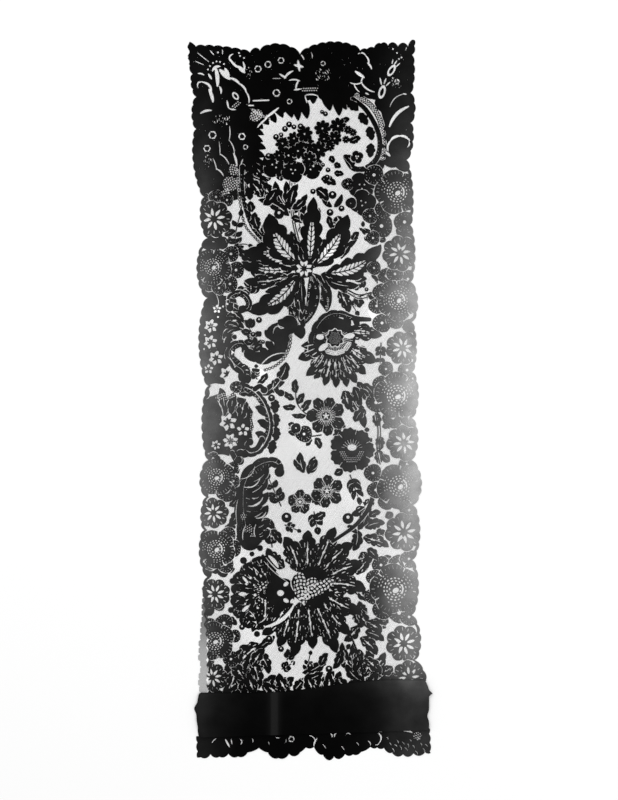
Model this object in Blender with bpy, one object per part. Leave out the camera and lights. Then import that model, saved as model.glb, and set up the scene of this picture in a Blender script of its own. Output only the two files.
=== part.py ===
"""A long black lace stole laid flat: its patterned length, its spare length folded into a band, its end."""

import bpy
import numpy as np

MM = 0.001
SHIFT_X = 4.52
SHIFT_Y = 1.14
WALL = 1.2
SEAM = 0.3
GRID = 1.0
COARSE = 3
SMALLEST_GAP = 4.0
MOST_GAPS = 100
LEAST_GAP_AREA = 80.0
LEAST_ISLAND_AREA = 110.0
BRIDE = 2.2
TRIM = 1.25

BAND_LEVELS = 5
BAND_PLY = 1.15
BAND_TOP_LEFT = -587.0
BAND_TOP_RIGHT = -561.0
BAND_LOW_LEFT = -678.0
BAND_LOW_RIGHT = -662.0

FAR = 1000.0
HALO = 1.4


def rows(columns, *table):
    """The rows of a table as dicts, one value for each named column."""
    names = columns.split()
    return [dict(zip(names, row)) for row in table]


class Lace:
    """A grid over the cloth, in mm. Its height is above 0 where thread covers the ground."""

    def __init__(self, step):
        self.step = step
        self.x = np.arange(LEFT - EDGE_ROOM, RIGHT + EDGE_ROOM, step)
        self.y = np.arange(LOW - EDGE_ROOM, HIGH + EDGE_ROOM, step)
        self.height = np.full((len(self.y), len(self.x)), -FAR)

    def lay(self, reach, motif, halo=HALO):
        """Lays one motif over the others, with a broken line of clear ground round it."""
        left, right, low, high = reach
        room = halo + 2 * self.step
        columns = slice(*np.searchsorted(self.x, (left - room, right + room)))
        lines = slice(*np.searchsorted(self.y, (low - room, high + room)))
        x, y = np.meshgrid(self.x[columns], self.y[lines])
        if not x.size:
            return
        inside, thread = motif(x, y)
        under = self.height[lines, columns]
        if halo:
            line = halo * (0.66 + 0.6 * np.sin(0.21 * x + 0.16 * y) * np.sin(0.19 * y - 0.13 * x))
            under = np.where(line > 0.3, np.minimum(under, -inside - line), under)
        self.height[lines, columns] = np.maximum(under, np.minimum(inside, thread))

    def cut(self, reach, motif):
        """Opens the ground inside a shape, and leaves the thread that the shape holds."""
        left, right, low, high = reach
        columns = slice(*np.searchsorted(self.x, (left, right)))
        lines = slice(*np.searchsorted(self.y, (low, high)))
        x, y = np.meshgrid(self.x[columns], self.y[lines])
        if not x.size:
            return
        inside, thread = motif(x, y)
        here = self.height[lines, columns]
        self.height[lines, columns] = np.minimum(here, np.maximum(-inside, thread))


def around(x, y, r):
    return (x - r, x + r, y - r, y + r)


def polar(px, py, x, y):
    return np.hypot(px - x, py - y), np.arctan2(py - y, px - x)


def dots(u, v, pitch, r):
    """Distance to the nearest of a staggered set of dots."""
    line = np.floor(v / pitch)
    shift = 0.5 * pitch * (line % 2)
    return np.hypot((u + shift) % pitch - pitch / 2, v % pitch - pitch / 2) - r


def bent(x, y, tip_x, tip_y, sag=0.0, count=12):
    """Points of a curve between two ends that bows to its left by sag of its length."""
    t = np.linspace(0, 1, count + 1)[:, None]
    first = np.array((x, y), float)
    last = np.array((tip_x, tip_y), float)
    across = np.array((first[1] - last[1], last[0] - first[0]))
    middle = (first + last) / 2 + 2 * sag * across
    return (1 - t) ** 2 * first + 2 * t * (1 - t) * middle + t**2 * last


def smooth(points, per=6):
    """A rounded path through a few points."""
    p = np.array([points[0], *points, points[-1]], float)
    t = np.linspace(0, 1, per, endpoint=False)[:, None]
    runs = []
    for a, b, c, d in zip(p, p[1:], p[2:], p[3:]):
        runs.append(
            0.5 * (2 * b + (c - a) * t + (2 * a - 5 * b + 4 * c - d) * t**2
                   + (3 * b - a - 3 * c + d) * t**3)
        )
    return np.concatenate([*runs, p[-1:]])


def along(px, py, path):
    """How far each point is from a path, where along it from 0 to 1, and on which side."""
    away = np.full(px.shape, FAR)
    t = np.zeros(px.shape)
    side = np.ones(px.shape)
    count = len(path) - 1
    for k in range(count):
        ax, ay = path[k]
        dx, dy = path[k + 1] - path[k]
        s = np.clip(((px - ax) * dx + (py - ay) * dy) / (dx * dx + dy * dy + 1e-9), 0, 1)
        gap = np.hypot(px - ax - s * dx, py - ay - s * dy)
        nearer = gap < away
        away = np.where(nearer, gap, away)
        t = np.where(nearer, (k + s) / count, t)
        side = np.where(nearer, np.sign(dx * (py - ay) - dy * (px - ax)), side)
    return away, t, away * side


def reach_of(path, wide):
    low = path.min(0) - wide
    high = path.max(0) + wide
    return (low[0], high[0], low[1], high[1])


def length_of(path):
    return np.hypot(*np.diff(path, axis=0).T).sum()


def daisy(lace, x, y, r, petals=8, turn=0.25, halo=HALO):
    """A dark scalloped round with light petals about a dark eye, and short light strokes in its rim."""

    def motif(px, py):
        rho, theta = polar(px, py, x, y)
        wave = petals * (theta - turn) / 2
        inside = r * (1 - 0.13 * (1 - np.abs(np.cos(wave)))) - rho
        swing = np.abs(np.sin(wave)) * rho * 2 / petals
        open_to = np.clip((rho / r - 0.17) / 0.44, 0, 1)
        slit = 0.076 * r * np.sin(np.pi * open_to) ** 0.6 * (1 + 0.2 * np.sin(7 * theta + r))
        light = swing - slit + 0.15
        rim = np.abs(np.cos(2 * wave)) * rho / petals - 0.55
        rim = np.maximum(rim, np.abs(rho / r - 0.76 - 0.05 * np.sin(5 * theta)) * r - 0.09 * r)
        crease = np.maximum(np.abs(np.cos(wave)) * rho * 2 / petals - 0.45, 0.8 * r - rho)
        return inside, np.minimum(np.minimum(light, rim), crease)

    lace.lay(around(x, y, r), motif, halo)


def dashes(rho, theta, r, first, last, turn=0.0):
    """Distance to rings of short dashes about a flower's heart."""
    apart = 0.105 * r
    ring = np.floor((rho - first) / apart)
    count = np.round(2 * np.pi * (first + (ring + 0.5) * apart) / (0.15 * r))
    place = (count * (theta - turn) / (2 * np.pi) + 0.5 * (ring % 2)) % 1.0
    along_ring = (np.abs(place - 0.5) - 0.27) * 0.15 * r
    across = np.abs(rho - first - (ring + 0.5) * apart) - 0.026 * r
    return np.maximum(np.maximum(along_ring, across), np.maximum(first - rho, rho - last))


def rose(lace, x, y, r, turn=0.4, petals=5, halo=HALO):
    """A dark lobed round with an open heart, rings of light dashes about it and an arc slit."""

    def motif(px, py):
        rho, theta = polar(px, py, x, y)
        lobe = 1 - 0.13 * (1 - np.abs(np.cos(petals * (theta - turn) / 2)))
        lobe = lobe - 0.015 * np.abs(np.sin(2.5 * petals * (theta - turn)))
        inside = r * lobe - rho
        u = (px - x) * np.cos(turn) + (py - y) * np.sin(turn)
        v = (py - y) * np.cos(turn) - (px - x) * np.sin(turn)
        patch = np.hypot(u / 1.3, v + 0.06 * r) - 0.12 * r
        grain = dashes(rho, theta, r, 0.16 * r, 0.5 * r)
        faint = dashes(rho, theta, r, 0.5 * r, 0.72 * r, 0.3)
        faint = np.maximum(faint + 0.008 * r, np.abs(np.sin(1.5 * (theta - turn))) * r * 0.5 - 0.34 * r)
        arc = np.maximum(np.abs(rho - 0.58 * r) - 0.03 * r, np.abs(theta - turn + 0.5) * rho - 0.6 * r)
        folds = np.abs(np.sin(petals * (theta - turn) / 2 + np.pi / 2)) * rho * 2 / petals
        crease = np.maximum(folds - 0.02 * r, 0.7 * r - rho)
        fine = np.maximum(np.abs(np.sin(17 * theta)) * rho / 17 - 0.4, np.abs(rho - 0.84 * r) - 0.07 * r)
        light = np.minimum(np.minimum(patch, grain), np.minimum(arc, crease))
        return inside, np.minimum(light, np.minimum(faint, fine))

    lace.lay(around(x, y, r), motif, halo)


def lobe(lace, x, y, r, hole=0.16, halo=HALO):
    """A plain round petal with one eyelet."""

    def motif(px, py):
        rho, theta = polar(px, py, x, y)
        inside = r * (1 - 0.05 * np.cos(3 * theta) - 0.03 * np.abs(np.sin(6 * theta))) - rho
        light = rho - hole * r
        if hole and r > 11:
            spots = np.hypot(rho - 0.55 * r, np.sin(2.5 * theta + 0.3 * x) * 0.3 * r) - 0.9
            fine = np.maximum(np.abs(np.sin(8 * theta)) * rho / 8 - 0.4, np.abs(rho - 0.78 * r) - 0.09 * r)
            light = np.minimum(light, np.minimum(spots, fine))
        return inside, light

    lace.lay(around(x, y, r), motif, halo)


def light_flower(lace, x, y, r, petals=6, turn=0.3):
    """A flower cut open in dark cloth: light petals round a dark eye."""

    def motif(px, py):
        rho, theta = polar(px, py, x, y)
        wave = petals * (theta - turn) / 2
        open_to = np.clip((rho / r - 0.24) / 0.76, 0, 1)
        wide = 1.3 / petals * r * np.sin(np.pi * open_to**1.4) ** 0.7
        wide = wide * (1 + 0.16 * np.sin(9 * rho / r + 5 * theta))
        swing = np.abs(np.sin(wave)) * rho * 2 / petals
        return wide - swing - 0.1, -np.ones(px.shape) * FAR

    lace.cut(around(x, y, r), motif)


def eyelet(lace, x, y, r=7.0, dark=0.66):
    """A ring cut open round a dark dot, slightly six-sided, with a few threads across it."""

    def motif(px, py):
        rho, theta = polar(px, py, x, y)
        threads = 0.6 - np.abs(np.sin(1.5 * (theta + x))) * rho / 1.5
        return r * (1 + 0.06 * np.cos(6 * theta)) - rho, np.maximum(dark * r - rho, threads)

    lace.cut(around(x, y, r + 1), motif)


def berry(lace, x, y, r, hole=0.3, halo=1.0):
    """A round berry with a light glint."""

    def motif(px, py):
        rho, _ = polar(px, py, x, y)
        return r - rho, np.hypot(px - x, py - y - 0.25 * r) - hole * r

    lace.lay(around(x, y, r), motif, halo)


def nicks(along_it, side, long, apart):
    """Short slits in staggered rows along a leaf, each of its own length and place."""
    line = np.floor(side / apart)
    place = along_it + long * (0.37 * line + 0.23 * np.sin(5.1 * line))
    cell = np.floor(place / long)
    off = 0.5 + 0.22 * np.sin(3.7 * cell + 2.3 * line)
    wide = 0.56 + 0.5 * np.sin(2.9 * cell + 1.7 * line)
    reach = 0.24 + 0.16 * np.sin(4.3 * cell + 3.1 * line)
    across = np.abs(side / apart - line - off) * apart - wide
    return np.maximum(across, np.abs(place / long - cell - 0.5) * long - reach * long)


def leaf(lace, x, y, tip_x, tip_y, wide, sag=0.0, teeth=0, panel=0.0, vein=1.1, halo=HALO, nicked=0.0):
    """A leaf from foot to tip. teeth notches its edge, panel opens its middle, nicked slits its foot."""
    path = bent(x, y, tip_x, tip_y, sag)
    run = length_of(path)

    def motif(px, py):
        away, t, side = along(px, py, path)
        body = np.sin(np.pi * np.clip(t, 0, 1) ** 0.85) ** 0.7
        edge = wide * body
        if teeth:
            lobes = (t * teeth + 0.14 * np.sign(side)) % 1.0
            edge = edge * (0.70 + 0.30 * np.sin(np.pi * lobes**1.5) ** 0.6)
        inside = edge - away
        thread = np.full(px.shape, FAR)
        if panel:
            into = np.clip((t - 0.06) / 0.62, 0, 1)
            ribs = (t * run - 1.1 * away) % 10.0 - 5
            hole = panel * wide * np.sin(np.pi * into) ** 0.75 * (0.82 + 0.05 * np.abs(ribs)) - away
            rib = vein - away
            thread = np.maximum(-hole, np.maximum(rib, 1.0 - np.abs(ribs)))
        elif vein:
            slit = np.clip((t - 0.12) / 0.62, 0, 1)
            thread = away - 0.055 * wide * np.sin(np.pi * slit) ** 0.5
        if nicked:
            marks = np.maximum(nicks(t * run, side, 12.0, 4.6), np.maximum(t - nicked, 2.2 - inside))
            thread = np.minimum(thread, marks)
        return inside, thread

    lace.lay(reach_of(path, wide), motif, halo)


def vine(lace, path, wide, end_wide=None, ball=0.0, halo=HALO, slit=0.0, veined=True):
    """A stem along a path, tapered, with an end ball and an optional slit down its middle."""
    path = np.asarray(path, float)
    last = wide if end_wide is None else end_wide
    run = length_of(path)

    def motif(px, py):
        away, t, side = along(px, py, path)
        half = wide + (last - wide) * t
        leafy = np.clip((half - 4) / 4, 0, 1)
        wave = np.abs(np.sin((t * run + 4 * np.sign(side)) * np.pi / (1.1 * wide + 6)))
        inside = half * (1 - 0.26 * leafy * (1 - wave**0.6)) - away
        if ball:
            inside = np.maximum(inside, ball - np.hypot(px - path[-1][0], py - path[-1][1]))
        thread = np.full(px.shape, FAR)
        if slit:
            thread = np.maximum(away - slit * half, np.maximum(0.08 - t, t - 0.86) * FAR)
        rib = np.abs((t * run + 1.3 * away + side) % 7.0 - 3.5) - 0.42
        rib = np.maximum(rib, np.maximum(0.22 * half - away, away - 0.74 * half))
        rib = np.maximum(rib, np.maximum((5 - half) * FAR, np.maximum(0.06 - t, t - 0.9) * FAR))
        ends = np.maximum(6 - half, np.maximum(0.1 - t, t - 0.86)) * FAR
        line = np.maximum(np.abs(side - 0.08 * half) - 0.4, ends)
        if veined:
            thread = np.minimum(thread, np.minimum(rib, line))
        return inside, thread

    lace.lay(reach_of(path, max(wide, last, ball)), motif, halo)


def beads(lace, path, r, pitch, hole=0.32, halo=0.8):
    """A string of beads along a path."""
    path = np.asarray(path, float)
    run = length_of(path)

    def motif(px, py):
        away, t, side = along(px, py, path)
        place = (t * run) % pitch - pitch / 2
        rho = np.hypot(place, side)
        inside = np.maximum(r - rho, 0.9 - away)
        return inside, rho - hole * r

    lace.lay(reach_of(path, r), motif, halo)


def slit(lace, x, y, tip_x, tip_y, wide, sag=0.0):
    """A tapered light slit."""
    path = bent(x, y, tip_x, tip_y, sag, 8)

    def motif(px, py):
        away, t, _ = along(px, py, path)
        half = wide * np.sin(np.pi * (0.08 + 0.84 * t)) ** 0.6
        return half - away, -np.ones(px.shape) * FAR

    lace.cut(reach_of(path, wide + 1), motif)


def opening(lace, x, y, a, b, turn=0.0, fill=None, pitch=4.5, thread=0.9):
    """An open oval, or one filled with dots, bars or a lattice."""
    c, s = np.cos(np.radians(turn)), np.sin(np.radians(turn))
    room = max(a, b) + 1

    def motif(px, py):
        u = (px - x) * c + (py - y) * s
        v = (py - y) * c - (px - x) * s
        k = np.hypot(u / a, v / b)
        inside = (1 - k) * min(a, b)
        if fill == "bars":
            kept = thread - np.abs(v % pitch - pitch / 2)
        elif fill == "lattice":
            wavy_u = u + 1.3 * np.sin(v / 3.1 + x)
            wavy_v = v + 1.3 * np.sin(u / 3.7 + y)
            bar = thread - np.abs(wavy_u % pitch - pitch / 2)
            kept = np.maximum(bar, thread - np.abs(wavy_v % pitch - pitch / 2))
        elif fill == "dots":
            kept = dots(u, v, pitch, pitch * 0.3)
        elif fill == "specks":
            kept = nicks(v, u, 7.5, 3.4)
        else:
            kept = np.full(px.shape, -FAR)
        return inside, kept

    lace.cut(around(x, y, room), motif)


def posy(lace, x, y, r, turn=0.3, petals=8, halo=1.2):
    """A small dark flower seen whole, with a lobed edge and one light dot."""

    def motif(px, py):
        rho, theta = polar(px, py, x, y)
        wave = petals * (theta - turn) / 2
        inside = r * (1 - 0.26 * (1 - np.abs(np.cos(wave)))) - rho
        split = np.abs(np.cos(wave)) * rho * 2 / petals - 0.35
        split = np.maximum(split, 0.62 * r - rho)
        return inside, np.minimum(rho - 0.11 * r, split)

    lace.lay(around(x, y, r), motif, halo)


def trellis(lace, path, wide, pitch=5.0, rim=1.3, halo=1.0):
    """A narrow band of crossed bars."""
    path = np.asarray(path, float)
    run = length_of(path)

    def motif(px, py):
        away, t, side = along(px, py, path)
        inside = wide - away
        u = (t * run + side) % pitch - pitch / 2
        v = (t * run - side) % pitch - pitch / 2
        bars = 0.75 - np.minimum(np.abs(u), np.abs(v))
        return inside, np.maximum(bars, away - wide + rim)

    lace.lay(reach_of(path, wide), motif, halo)


def sprig(lace, x, y, tip_x, tip_y, pairs, long, wide, sag=0.0, open_out=48, halo=1.0, vein=0.8):
    """A stem with pairs of leaves and one at its tip."""
    path = bent(x, y, tip_x, tip_y, sag, 10)
    vine(lace, path, 1.3, 0.9, halo=halo)
    for k in range(pairs):
        at = int(round((0.18 + 0.72 * k / max(pairs, 1)) * 10))
        foot = path[at]
        ahead = path[min(at + 1, 10)] - path[at - 1]
        angle = np.arctan2(ahead[1], ahead[0])
        for way in (1, -1):
            turn = angle + way * np.radians(open_out)
            size = long * (1 - 0.25 * k / max(pairs, 1))
            end = foot + size * np.array((np.cos(turn), np.sin(turn)))
            leaf(lace, foot[0], foot[1], end[0], end[1], wide, sag=0.12 * way, vein=vein, halo=halo)
    ahead = path[-1] - path[-2]
    end = path[-1] + long * 0.8 * ahead / np.hypot(*ahead)
    leaf(lace, path[-1][0], path[-1][1], end[0], end[1], wide, vein=vein, halo=halo)


def husks(lace, centres, long, wide, angles):
    """Bell-shaped husks, each a short notched leaf."""
    for (x, y), angle in zip(centres, angles):
        c, s = np.cos(np.radians(angle)), np.sin(np.radians(angle))
        leaf(lace, x - c * long / 2, y - s * long / 2, x + c * long / 2, y + s * long / 2,
             wide, teeth=3, vein=0, halo=1.1)
LEFT, RIGHT = -250.0, 242.0
LOW, HIGH = -722.0, 722.0
EDGE_ROOM = 8.0
RIM = 4.0

LEFT_EDGE = rows(
    "y x bulge",
    (718, -247, 4), (650, -238, 5), (604, -230, 8), (540, -230, 13), (404, -214, 10), (322, -208, 20),
    (202, -208, 17), (26, -206, 12), (-122, -206, 14), (-196, -210, 8), (-262, -214, 12), (-356, -208, 10),
    (-442, -210, 14), (-526, -214, 8), (-582, -222, 4), (-722, -226, 0),
)
RIGHT_EDGE = rows(
    "y x bulge",
    (724, 204, 4), (688, 203, 5), (612, 200, 8), (552, 200, 8), (478, 192, 8), (348, 199, 8),
    (234, 200, 12), (154, 202, 8), (54, 203, 12), (-38, 202, 12), (-122, 201, 18), (-212, 204, 14),
    (-322, 203, 12), (-432, 202, 14), (-522, 208, 12), (-582, 226, 4), (-722, 238, 0),
)
TOP_EDGE = rows(
    "x y bulge",
    (-250, 716, 1), (-230, 706, 5), (-122, 694, 5), (-102, 698, 16), (-22, 690, 20), (98, 698, 0),
    (126, 704, 6), (154, 708, 5), (174, 706, 5), (194, 706, 9), (212, 710, 3), (250, 710, 0),
)

DAISIES = rows(
    "x y r turn",
    (-194, 360, 37, 0.2), (-195, -228, 31, 0.1), (-192, -390, 31, 0.35), (-197, -557, 30, 0.2),
    (178, 291, 36, 0.2), (183, 102, 34, 0.3), (186, -88, 36, 0.1), (186, -266, 39, 0.2),
    (186, -489, 37, 0.3), (196, -556, 34, 0.1),
)
ROSES = rows(
    "x y r turn",
    (-196, 264, 38, 0.9), (-189, -156, 38, 0.3), (-190, -300, 40, 0.8), (-192, -484, 40, 0.5),
    (172, 414, 46, 0.6), (174, 198, 43, 1.0), (173, 7, 48, 0.4), (177, -174, 47, 0.9),
    (168, -380, 52, 0.5),
)
ROUND_LOBES = rows(
    "x y r",
    (-160, 290, 16), (-150, 258, 17), (-162, 230, 16), (140, 214, 17), (131, 186, 16), (142, 152, 19),
    (168, 158, 18), (141, 346, 23), (187, 354, 21), (130, -7, 20), (140, 30, 17), (164, -38, 21),
    (124, -148, 18), (129, -182, 17), (150, -206, 16), (73, 430, 12), (80, 392, 11), (-156, -137, 12),
    (-155, -164, 13), (-170, -186, 20), (-166, -272, 16), (-156, -299, 17), (-171, -331, 17),
    (-202, -330, 13), (-153, -474, 13), (-174, -448, 18), (-203, -452, 14), (140, -332, 18),
    (126, -357, 16), (124, -394, 17), (143, -421, 20), (176, -428, 21), (174, -330, 19), (150, 246, 16),
    (194, 240, 18), (168, 250, 17), (196, -436, 18), (-160, -520, 16), (-206, -520, 14), (150, 60, 15),
    (192, 58, 18), (196, -38, 18), (192, -130, 16), (196, -222, 18), (196, -320, 18), (126, 448, 20),
    (-214, 398, 13), (-190, 404, 14), (-168, 398, 13), (-206, 230, 15), (-184, 222, 14), (-214, 12, 12),
    (-212, -128, 12), (-190, -122, 10), (-150, 24, 12), (-196, -118, 12), (-218, -400, 12), (124, 322, 14),
    (118, 366, 15), (146, 380, 18), (126, 262, 14), (-14, -70, 17), (-30, -58, 10),
)
PANSIES = rows(
    "x y r turn",
    (102, 426, 28, 0.5), (104, 392, 27, 0.2), (0, 464, 25, 0.3), (-72, 468, 27, 0.9), (-36, 456, 24, 0.4),
    (-48, 496, 20, 0.7), (92, 484, 13, 0.4), (-16, 500, 18, 0.2),
)
LIGHT_FLOWERS = rows(
    "x y r petals",
    (-200, 146, 14, 6), (-201, 114, 14, 6), (-190, 82, 15, 6), (-167, 50, 16, 6), (-166, -46, 18, 6),
    (-136, -62, 13, 5), (-161, -84, 16, 7), (-190, -92, 10, 6), (-205, 60, 10, 5), (-188, 180, 9, 5),
)
EYELETS = rows(
    "x y r",
    (-106, 660, 7), (-86, 669, 7), (-60, 677, 6.5), (-69, 612, 7.5), (-43, 595, 5.5), (-197, 528, 8),
    (-138, 525, 7), (-208, 501, 7), (-131, 504, 5), (24, 671, 5), (172, 635, 5),
)
TOP_SLITS = rows(
    "x y tip_x tip_y wide sag",
    (-228, 693, -204, 674, 0.9, 0.0), (-202, 697, -194, 688, 1.2, 0.0), (-179, 707, -177, 689, 0.9, 0.05),
    (-232, 676, -214, 668, 0.8, 0.0), (-226, 651, -214, 648, 1.6, 0.1), (-191, 662, -187, 626, 4.0, 0.05),
    (-197, 656, -182, 665, 2.8, 0.2), (-182, 658, -163, 640, 5.0, 0.0), (-172, 661, -164, 646, 3.6, 0.0),
    (-205, 650, -199, 640, 2.2, 0.0), (-183, 625, -180, 611, 2.2, 0.1), (-162, 642, -142, 629, 2.6, 0.1),
    (-144, 631, -129, 612, 2.2, 0.12), (-129, 613, -124, 592, 1.7, 0.1), (-156, 690, -161, 675, 1.6, -0.3),
    (-161, 679, -142, 662, 2.4, -0.1), (-145, 665, -133, 653, 4.0, 0.0), (-136, 674, -134, 655, 2.0, 0.1),
    (-226, 622, -216, 634, 1.5, 0.4), (-218, 634, -200, 610, 2.4, 0.25), (-204, 619, -196, 594, 3.4, 0.05),
    (-221, 571, -199, 577, 2.5, 0.1), (-168, 597, -165, 582, 1.8, 0.0), (-166, 584, -150, 579, 1.3, -0.15),
    (-33, 668, -16, 664, 3.2, 0.0), (-26, 677, -23, 656, 2.8, 0.0), (-63, 650, -50, 642, 2.2, 0.0),
    (-53, 641, -36, 656, 2.3, 0.1), (-78, 641, -60, 641, 0.8, 0.0), (-44, 637, -22, 636, 1.7, 0.1),
    (-24, 637, -30, 620, 1.9, -0.1), (-34, 618, -20, 620, 1.8, 0.0), (-92, 561, -65, 582, 2.5, 0.0),
    (-107, 543, -88, 561, 1.8, 0.05), (-12, 607, 14, 606, 1.4, 0.1), (-12, 606, -8, 592, 1.5, 0.0),
    (12, 607, 19, 595, 1.3, 0.0), (94, 690, 110, 686, 1.4, -0.25), (109, 687, 115, 668, 1.7, -0.15),
    (113, 672, 121, 660, 1.9, 0.1), (89, 655, 106, 643, 3.2, 0.0), (104, 644, 100, 635, 1.5, 0.0),
    (78, 633, 103, 634, 1.3, -0.15), (100, 634, 127, 614, 1.7, -0.12), (86, 631, 97, 614, 1.3, -0.1),
    (109, 612, 115, 609, 1.7, 0.0), (166, 668, 172, 677, 1.4, 0.0), (170, 664, 178, 672, 1.4, 0.0),
    (162, 670, 164, 679, 1.2, 0.0), (141, 628, 138, 642, 1.6, 0.0), (146, 630, 150, 641, 1.6, 0.0),
    (150, 626, 158, 634, 1.6, 0.0), (158, 584, 186, 610, 1.0, 0.16), (184, 611, 191, 609, 1.6, 0.0),
    (157, 545, 195, 585, 3.4, 0.12), (189, 697, 196, 711, 0.9, 0.05), (154, 496, 160, 517, 2.2, -0.15),
    (159, 516, 178, 526, 2.4, -0.15), (177, 526, 195, 519, 1.8, -0.15), (195, 521, 193, 504, 1.3, -0.2),
    (150, 494, 158, 486, 2.6, 0.0), (-163, 546, -164, 516, 0.9, 0.05), (-164, 518, -153, 488, 1.0, 0.1),
    (-155, 491, -148, 466, 2.2, 0.05), (-184, 516, -182, 488, 0.9, 0.03), (-182, 490, -164, 469, 1.3, 0.1),
    (-196, 481, -189, 458, 1.1, 0.05), (-190, 461, -175, 446, 1.5, 0.1), (-198, 409, -157, 392, 2.2, 0.12),
    (-133, 458, -133, 420, 1.0, 0.0), (-133, 421, -127, 390, 1.0, 0.05), (-140, 470, -136, 480, 1.2, 0.0),
    (0, 694, 2, 680, 0.8, 0.1), (-22, 690, -14, 678, 1.4, 0.1),
)
TOP_OPENINGS = rows(
    "x y a b turn fill",
    (-100, 597, 17, 3.6, 2, "bars"), (-120, 587, 6, 2.4, 0, "bars"), (-110, 567, 14, 11, 38, "lattice"),
    (-156, 458, 9, 12, 0, "lattice"), (-162, 430, 15, 15, 30, "lattice"), (-170, 414, 9, 6, 0, "lattice"),
    (-184, 562, 26, 17, 0, "specks"), (-118, 604, 9, 16, 0, "specks"), (-124, 652, 6, 12, 0, "specks"),
    (22, 652, 34, 24, 20, "specks"), (-80, 690, 30, 12, 0, "specks"), (-206, 476, 12, 22, 0, "specks"),
    (168, 630, 14, 22, 30, "specks"), (180, 556, 12, 16, 30, "specks"), (-3, 619, 19, 5, 2, "dots"),
    (150, 690, 22, 12, 20, "specks"), (-150, 588, 12, 5, 40, "dots"),
)
BUD_RINGS = rows(
    "x y a b turn",
    (-151, 606, 9, 5.5, 128), (161, 657, 13, 6.5, 58), (142, 614, 14, 7, 74),
)
BOUQUET = rows(
    "x y r turn",
    (-57, 511, 15, 0.2), (-34, 521, 14, 0.7), (-45, 487, 18, 0.4), (-26, 496, 16, 0.1),
    (-64, 487, 12, 0.5), (-6, 512, 13, 0.3), (-13, 530, 17, 0.2), (23, 541, 17, 0.7), (54, 546, 17, 0.1),
    (47, 521, 15, 0.5), (26, 520, 13, 0.1), (15, 498, 18, 0.0), (74, 538, 9, 0.4), (84, 533, 8, 0.1),
    (-4, 480, 15, 0.6), (70, 519, 8, 0.3), (38, 505, 10, 0.2),
)
STAR_LEAVES = rows(
    "x y tip_x tip_y wide sag teeth panel",
    (-12, 262, -40, 336, 17, 0.06, 3, 0.0), (2, 262, 46, 326, 14, -0.04, 3, 0.0),
    (20, 250, 74, 212, 15, 0.06, 3, 0.0), (30, 240, 96, 228, 12, -0.1, 3, 0.0),
    (-22, 250, -58, 206, 14, -0.1, 3, 0.0), (-30, 244, -92, 214, 14, 0.1, 3, 0.0),
    (-28, 246, -128, 176, 26, 0.13, 4, 0.36), (-32, 258, -134, 288, 27, -0.16, 4, 0.42),
    (30, 252, 140, 309, 25, -0.14, 4, 0.40), (6, 266, 73, 369, 27, -0.08, 4, 0.38),
    (-26, 272, -84, 371, 31, 0.10, 4, 0.40), (-3, 268, 5, 404, 23, 0.0, 5, 0.30),
)
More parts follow.
